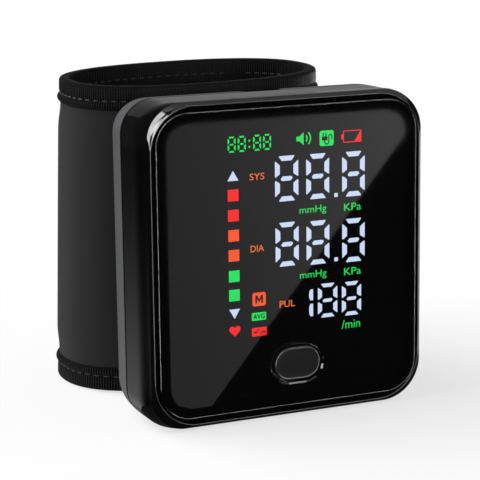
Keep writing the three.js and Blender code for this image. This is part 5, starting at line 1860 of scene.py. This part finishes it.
@dataclass
class ClosingTail:
    """The tail that closes the cuff behind the wrist, its hook patch, and the loop patch it grips."""

    path: CuffPath
    root: float = 18.0
    tip: float = -32.0
    near_stand: float = 1.8
    far_stand: float = 3.7
    lead: float = 12.0
    thickness: float = 1.4
    height: float = 54.0
    tip_height: float = 30.0
    tip_length: float = 10.0
    edge_share: float = 0.45
    edge_most: float = 0.5
    seam_inset: float = 2.5
    seam_ends: Span = (1.0, 9.0)
    seam_lift: float = 0.02
    patch_height: float = 42.0
    patch_thickness: float = 0.8
    cloth: Woven = Woven("tail_cloth", (0.03, 0.031, 0.033), 0.5, 0.05)
    thread: Woven = Woven("tail_thread", (0.1, 0.1, 0.1), 0.3, 0.02)
    hooks: Pile = Pile("hook_tape", (0.02, 0.02, 0.021), 0.6, 0.15, 0.25)
    loops: Pile = Pile("loop_tape", (0.024, 0.024, 0.026), 0.35, 1.0, 0.2)
    stitching: Stitching = field(default_factory=Stitching)

    def middle_z(self) -> float:
        """Gives the height of the tail's middle line, half way up the cuff."""
        return self.path.height / 2

    def strip(self, distance: Array, inner: Array, thickness: float, half: Array) -> Form:
        """Carries a flat bar with round edges along the cuff's line and closes both ends.

        Args:
            distance: stops along the line.
            inner: how far outside the line its inner face lies, at each stop.
            thickness: from its inner to its outer face.
            half: half of its height at each stop.

        Returns:
            The strip's form, with the place on the flat cloth.
        """
        corner = min(self.edge_share * thickness, self.edge_most)
        section = rounded_rectangle(thickness / 2, 1.0, corner, 5, 16)
        out, level = section[:, 0], section[:, 1]
        at_edge = np.sign(level) * half[:, None] - np.sign(level) * (1.0 - np.abs(level))
        on_face = level * 2.0 * (half[:, None] - 0.5)
        up = self.middle_z() + np.where(np.abs(level) < 0.5, on_face, at_edge)
        rings = self.path.point(distance[:, None], inner[:, None] + thickness / 2 + out, up)
        return bar(rings, flat=flat_grid(distance, np.concatenate([up, up[:, :1]], axis=1)))

    def length_at(self, span: Span, stand: float) -> float:
        """Gives a strip's flat length in metres: the way between two stops, at a stand outside the line."""
        places = self.path.point(np.linspace(*span, 200), stand, self.middle_z())
        return float(np.linalg.norm(np.diff(places, axis=0), axis=1).sum()) * MM

    def tail(self) -> None:
        """Makes the tail, lifting off the band past its root and rounded at its tip, with two sewn rows."""
        distance = np.linspace(self.root, self.tip, 90)
        lift = smoothstep((self.root - distance) / self.lead)
        inner = self.near_stand + (self.far_stand - self.near_stand) * lift
        to_tip = np.clip((distance - self.tip) / self.tip_length, 0.0, 1.0)
        half = (self.tip_height + (self.height - self.tip_height) * np.sqrt(1.0 - (1.0 - to_tip) ** 2)) / 2
        form = self.strip(distance, inner, self.thickness, half)
        outside = self.far_stand + self.thickness + self.seam_lift
        ends = (self.root - self.lead - self.seam_ends[0], self.tip + self.seam_ends[1])
        for side in (-1.0, 1.0):
            row = self.middle_z() + side * (self.height / 2 - self.seam_inset)
            self.stitching.row(form, self.path, ends, outside, row)
        tail = form.piece("closing_tail", [self.cloth.make(), self.thread.make()])
        place(tail, "tail", "tail_cloth", "cuff_tail")
        length = self.length_at((self.root, self.tip), self.far_stand + self.thickness / 2)

    def patch(self, kind: Patch) -> None:
        """Makes one patch of hook or loop tape, as a plain strip.

        Args:
            kind: what the patch is and where it lies.
        """
        distance = np.linspace(*kind.span, 60)
        half = np.full(len(distance), self.patch_height / 2)
        form = self.strip(distance, np.full(len(distance), kind.stand), self.patch_thickness, half)
        patch = form.piece(kind.name, [kind.finish.make()])
        place(patch, kind.rides_on, kind.slot, kind.node)
        length = self.length_at(kind.span, kind.stand + self.patch_thickness / 2)

    def build(self) -> None:
        """Makes the tail and both patches."""
        self.tail()
        self.patch(Patch("hook_tape_patch", "hook_patch", "tail", "hook", (2.0, -28.0), 2.7, self.hooks))
        self.patch(Patch("loop_tape_patch", "loop_patch", "monitor", "loop", (-4.0, -32.0), 1.7, self.loops))


@dataclass
class InnerWorks:
    """Finishes for the parts inside the case, which keep their CAD shapes, and the pump motor's foam."""

    foam_wall: float = 0.9
    foam_edge: float = 0.25
    foam: Pile = Pile("pump_foam", (0.02, 0.02, 0.02), 0.45, 1.0, 0.2)
    finishes: dict[Moulded | Metal | Board, list[str]] = field(
        default_factory=lambda: {
            Moulded("switch_tip_plastic", (0.02, 0.02, 0.02), 0.4): ["switch_plunger"],
            Metal("switch_can", (0.6, 0.6, 0.6), 0.3): ["switch_body"],
            Moulded("light_box_plastic", (0.7, 0.7, 0.68), 0.5): ["display_light_box"],
            Moulded("legend_film", (0.0005, 0.0005, 0.0005), 0.75, specular=0.1): ["legend_film"],
            Board("green_board"): ["main_board", "charge_board"],
            Moulded("chip_resin", (0.012, 0.012, 0.013), 0.5): ["controller_chip", "buzzer", "air_manifold"],
            Moulded("sensor_ceramic", (0.62, 0.62, 0.58), 0.45): ["pressure_sensor"],
            Moulded("cell_wrap", (0.03, 0.08, 0.22), 0.35): ["battery_pack"],
            Metal("motor_can", (0.5, 0.5, 0.5), 0.35, (8.0, 1.0, 1.0)): ["pump_motor", "valve_plunger"],
            Moulded("crank_nylon", (0.65, 0.63, 0.55), 0.45): ["pump_crank", "pump_head"],
            Moulded("diaphragm_rubber", (0.02, 0.02, 0.02), 0.75): ["pump_diaphragm"],
            Moulded("valve_nylon", (0.5, 0.5, 0.48), 0.4): ["valve_body"],
            Moulded("air_tube_rubber", (0.45, 0.44, 0.42), 0.5): ["cuff_tube"],
            Metal("screw_steel", (0.22, 0.22, 0.23), 0.32): [
                f"{kind}_screw_{number}" for kind in ("case", "cuff") for number in (1, 2, 3, 4)
            ],
            Moulded("plate_plastic", (0.012, 0.012, 0.013), 0.45): ["cuff_mount_plate"],
        }
    )

    def dress(self) -> None:
        """Gives every part that keeps its CAD shape its own finish."""
        for finish, names in self.finishes.items():
            material = finish.make()
            for name in names:
                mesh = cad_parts[name].data
                mesh.materials.clear()
                mesh.materials.append(material)
                log.info("dressed %s", name)

    def sleeve(self) -> None:
        """Turns the foam sleeve round the motor's axis: a closed wall with soft edges, along x."""
        low, high = local_box("pump_sleeve")
        outer, soft = (high[1] - low[1]) / 2, self.foam_edge
        inner, sides = outer - self.foam_wall, 48
        stops = [(low[0], inner), (low[0], outer - soft), (low[0] + soft, outer)]
        stops += [(high[0] - soft, outer), (high[0], outer - soft), (high[0], inner)]
        way = round_way(np.arange(sides) * 2 * math.pi / sides)
        middle = middle_of("pump_sleeve")[1:]
        rings = [np.insert(middle + radius * way, 0, x, axis=1) for x, radius in stops]
        sleeve = loop(rings).piece("pump_foam_sleeve", [self.foam.make()])
        place(sleeve, "monitor", "foam", "pump_sleeve")

    def build(self) -> None:
        """Dresses the inner parts and makes the foam sleeve."""
        self.dress()
        self.sleeve()


@dataclass(frozen=True)
class GlowCard:
    """A studio card that only shows in reflections: a strip of a far sphere between two directions.

    Its glow runs evenly from the start to the end. A nearer card hides a farther one.
    """

    name: str
    start: tuple[float, float, float]
    end: tuple[float, float, float]
    half_angle: float
    glow: float
    end_glow: float | None = None
    radius: float = 3000.0

    def grid(self) -> tuple[Array, Array]:
        """Swings from the start direction to the end direction and tilts to both sides by the half angle.

        Returns:
            The places in the case frame and the glow at each.
        """
        first, last = (np.array(way) / np.linalg.norm(way) for way in (self.start, self.end))
        across = np.cross(first, last)
        across /= np.linalg.norm(across)
        whole = math.acos(float(np.clip(first @ last, -1.0, 1.0)))
        share = np.linspace(0.0, 1.0, 25)[:, None, None]
        side = np.radians(np.linspace(-self.half_angle, self.half_angle, 9))[None, :, None]
        swung = (np.sin((1 - share) * whole) * first + np.sin(share * whole) * last) / math.sin(whole)
        ways = np.cos(side) * swung + np.sin(side) * across
        end_glow = self.glow if self.end_glow is None else self.end_glow
        glow = self.glow + (end_glow - self.glow) * share[..., 0]
        return (0.0, 0.0, WINDOW_Z) + self.radius * ways, np.broadcast_to(glow, ways.shape[:2])


@dataclass
class Studio:
    """The photograph's camera, a white floor, soft light and the cards that the gloss mirrors."""

    azimuth: float = -24.0
    elevation: float = 11.4914
    roll: float = -0.726
    distance: float = 373.205
    lens: float = 135.63
    sensor: float = 36.0
    clip_end: float = 50.0
    aim: tuple[float, float, float] = (-11.5504, 0.0, 4.969)
    floor_size: float = 12000.0
    floor_white: float = 0.97
    floor_rough: float = 0.9
    floor_clear: float = 0.68
    fill_light: float = 0.36
    mirror_light: float = 0.04
    sun: float = 3.4
    sun_from: tuple[float, float, float] = (-0.68, 0.4, 0.62)
    sun_spread: float = 70.0
    glare: Box = (2.2, 2.1, 57.5, 61.75)
    glare_corner: float = 4.6
    glare_cut: Box = (57.5, 7.7, 11.4, 61.75)
    glare_glow: Span = (0.58, 1.6)
    glare_ways: Span = (0.75, 0.25)
    card_lift: float = 0.3
    flank_foot: Span = (2.6, 6.0)
    flank_reach: Span = (8.0, 420.0)
    flank_swing: Span = (62.0, 165.0)
    flank_fade: Span = (125.0, 28.0)
    flank_start: Span = (80.0, 16.0)
    flank_start_share: float = 0.35
    flank_dim: float = 0.02
    flank_bright: float = 0.5
    flank_fall: float = 90.0
    cards: tuple[GlowCard, ...] = (
        GlowCard("corner_softbox", (-0.56, -0.83, -0.03), (0.03, -0.93, 0.36), 6.0, 13.0, 13.5),
        GlowCard("top_rim_card", (-0.25, -0.575, 0.775), (0.85, -0.2, 0.48), 24.0, 1.0, 0.7),
        GlowCard("rim_link_card", (0.05, -0.92, 0.385), (0.26, -0.68, 0.69), 6.0, 1.8, 1.1),
        GlowCard("left_edge_strip", (-0.30, -0.93, -0.31), (-0.30, -0.93, -0.09), 12.0, 14.0),
        GlowCard("front_edge_strip", (-0.30, -0.93, 0.12), (0.62, -0.76, 0.12), 3.0, 18.0),
        GlowCard("lower_edge_strip", (0.15, -0.86, -0.48), (0.75, -0.5, -0.43), 5.0, 14.0),
        GlowCard("right_edge_strip", (0.72, -0.65, -0.45), (0.72, -0.67, 0.05), 6.0, 12.0),
        GlowCard("slot_card", (0.34, -0.64, 0.69), (0.52, -0.6, 0.66), 7.0, 6.0, radius=2600.0),
        GlowCard("slot_side_card", (0.96, -0.12, -0.3), (0.98, -0.11, -0.1), 6.0, 6.0, radius=2600.0),
        GlowCard("right_floor_card", (0.9, 0.1, -0.3), (0.7, 0.7, -0.05), 12.0, 0.6, 7.0),
        GlowCard("back_card", (0.42, 0.9, -0.05), (0.33, 0.6, 0.75), 38.0, 0.35, 0.03),
    )

    @classmethod
    def sight_slopes(cls) -> tuple[float, float]:
        """Gives how far the line of sight runs right and up for each millimetre that it goes back."""
        turn, rise = math.radians(cls.azimuth), math.radians(cls.elevation)
        return -math.tan(turn), -math.tan(rise) / math.cos(turn)

    def axes(self) -> tuple[Array, Array, Array]:
        """Turns the camera's directions by its three angles.

        Returns:
            The right, up and backward directions.
        """
        turn, rise, roll = (math.radians(angle) for angle in (self.azimuth, self.elevation, self.roll))
        back = np.array([math.sin(turn) * math.cos(rise), -math.cos(turn) * math.cos(rise), math.sin(rise)])
        right = np.array([math.cos(turn), math.sin(turn), 0.0])
        up = np.cross(back, right)
        turned_right = math.cos(roll) * right + math.sin(roll) * up
        turned_up = math.cos(roll) * up - math.sin(roll) * right
        return turned_right, turned_up, back

    def eye(self) -> Array:
        """Gives the camera's place in the case frame."""
        return np.array(self.aim) + (0.0, 0.0, WINDOW_Z) + self.distance * self.axes()[2]

    def camera(self) -> None:
        """Sets up the camera at the photograph's angle."""
        data = bpy.data.cameras.new("photo_camera")
        data.sensor_width, data.lens = self.sensor, self.lens
        data.clip_end = self.clip_end
        camera = bpy.data.objects.new("photo_camera", data)
        pose = np.eye(4)
        pose[:3, :3] = np.stack(self.axes(), axis=-1)
        pose[:3, 3] = (self.eye() + ORIGIN) * MM
        camera.matrix_world = Matrix(pose.tolist())
        bpy.context.scene.collection.objects.link(camera)
        bpy.context.scene.camera = camera

    def floor(self) -> None:
        """Lays a plain white floor; the camera sees its shadow lighter, and mirrors see the cards instead."""
        half = self.floor_size / 2
        corners = np.array([[(x, y, 0.0) for x in (-half, half)] for y in (-half, half)])
        paint = Paint("floor_white", (self.floor_white,) * 3, self.floor_rough, Specular_IOR_Level=0.0)
        share = paint.math("MULTIPLY", paint.node("LightPath"), self.floor_clear)
        glow = paint.node("Emission", (1.0, 1.0, 1.0, 1.0), 1.0)
        paint.show(paint.node("MixShader", share, paint.shader.outputs[0], glow))
        floor = Form().add_grid(corners).piece("studio_floor", [paint.material], closed=False)
        floor.visible_glossy = False

    def card(self, name: str, points: Array, glow: Array) -> None:
        """Makes one card that only mirrors see.

        Args:
            name: the card's name.
            points: its grid of places.
            glow: how bright it is at each place.
        """
        paint = Paint(name, (0.0, 0.0, 0.0), 1.0)
        level = paint.node("Attribute", attribute_name="glow").node.outputs["Fac"]
        paint.show(paint.node("Emission", None, level))
        card = Form().add_grid(points).piece(name, [paint.material], closed=False)
        spread = card.data.attributes.new("glow", "FLOAT", "POINT")
        spread.data.foreach_set("value", np.ascontiguousarray(glow, dtype=np.float32).ravel())
        card.visible_camera = card.visible_diffuse = card.visible_shadow = False
        card.visible_transmission = card.visible_volume_scatter = False

    def window_glare(self) -> None:
        """Lays the card that the flat window mirrors: the glare's outline, carried from the eye to the floor.

        The outline is a box with round corners on the window, cut off along a slanted line. The line of sight
        to each of its places is mirrored by the window's front and ends on the floor.
        """
        left, upper, right, lower = self.glare
        down = np.linspace(upper, lower, 60)
        from_end = np.clip(np.minimum(down - upper, lower - down), 0.0, self.glare_corner)
        inset = self.glare_corner - np.sqrt(self.glare_corner**2 - (self.glare_corner - from_end) ** 2)
        start_x, start_y, end_x, end_y = self.glare_cut
        slant = start_x + (down - start_y) * (end_x - start_x) / (end_y - start_y)
        share = np.linspace(0.0, 1.0, 24)[None]
        near, far = left + inset, np.minimum(right - inset, slant)
        across = near[:, None] + (far - near)[:, None] * share
        x = across * WINDOW_WIDTH / Display.measured_width - WINDOW_WIDTH / 2
        z = WINDOW_Z + WINDOW_HEIGHT / 2 - down[:, None] + 0.0 * share
        spots = np.stack([x, np.zeros_like(x), z], axis=-1)
        way = (spots - self.eye()) * (1.0, -1.0, 1.0)
        reach = (self.card_lift - spots[..., 2:]) / way[..., 2:]
        dim, bright = self.glare_glow
        rightness, height = across / right, 1.0 - down[:, None] / lower
        tilt = np.clip(rightness * self.glare_ways[0] + height * self.glare_ways[1], 0.0, 1.0)
        self.card("window_glare", spots + way * reach, dim + (bright - dim) * tilt**2)

    def flank_glow(self) -> None:
        """Lays the card that the left flank mirrors: a fan on the floor, bright near the flank's foot.

        The glow falls off with the distance by an exponential, and it is eased along the swing at both ends.
        """
        aside, behind = self.flank_foot
        foot = np.array([-WINDOW_WIDTH / 2 - aside, behind, self.card_lift])
        away = np.geomspace(*self.flank_reach, 40)[:, None]
        swing = np.linspace(*self.flank_swing, 52)[None]
        fan = away[..., None] * round_way(np.radians(swing))
        points = foot + np.concatenate([fan, np.zeros((*fan.shape[:2], 1))], axis=-1)
        end, end_ease = self.flank_fade
        start, start_ease = self.flank_start
        share = self.flank_start_share
        rise = share + (1.0 - share) * smoothstep((swing - start) / start_ease)
        fade = (1.0 - smoothstep((swing - end) / end_ease)) * rise
        glow = self.flank_dim + self.flank_bright * np.exp(-away / self.flank_fall)
        self.card("flank_glow", points, glow * fade)

    def light(self) -> None:
        """Sets a white world, seen at full strength only by the camera, and one broad soft lamp."""
        scene = bpy.context.scene
        world = bpy.data.worlds.new("studio")
        scene.world = world
        world.use_nodes = True
        nodes = Nodes(world.node_tree)
        background = nodes.tree.nodes["Background"]
        background.inputs["Color"].default_value = (1.0, 1.0, 1.0, 1.0)
        rays, level = nodes.node("LightPath").node.outputs, self.fill_light
        for ray, target in (("Is Camera Ray", 1.0), ("Is Glossy Ray", self.mirror_light)):
            level = nodes.math("MULTIPLY_ADD", rays[ray], target - self.fill_light, level)
        nodes.tree.links.new(level, background.inputs["Strength"])
        lamp = bpy.data.lights.new("broad_lamp", "SUN")
        lamp.energy = self.sun
        lamp.angle = math.radians(self.sun_spread)
        holder = bpy.data.objects.new("broad_lamp", lamp)
        holder.matrix_world = Vector(self.sun_from).to_track_quat("Z", "Y").to_matrix().to_4x4()
        holder.visible_glossy = False
        scene.collection.objects.link(holder)
        scene.view_settings.view_transform = "Standard"

    def build(self) -> None:
        """Sets up everything round the object."""
        self.camera()
        self.floor()
        self.light()
        self.window_glare()
        self.flank_glow()
        for card in self.cards:
            self.card(card.name, *card.grid())


def main() -> None:
    """Builds the monitor piece by piece and sets up the studio."""
    logging.basicConfig(level=logging.INFO, format="%(message)s")
    button, port, band = StartButton(), ChargingPort(), CuffBand()
    case = CaseBody(button, port)
    outside = (case, button, port, Display(case.smoke.cover), band, ClosingTail(band.path))
    for part in (*outside, InnerWorks(), Studio()):
        part.build()
        log.info("built %s", type(part).__name__)


if __name__ == "__main__":
    main()
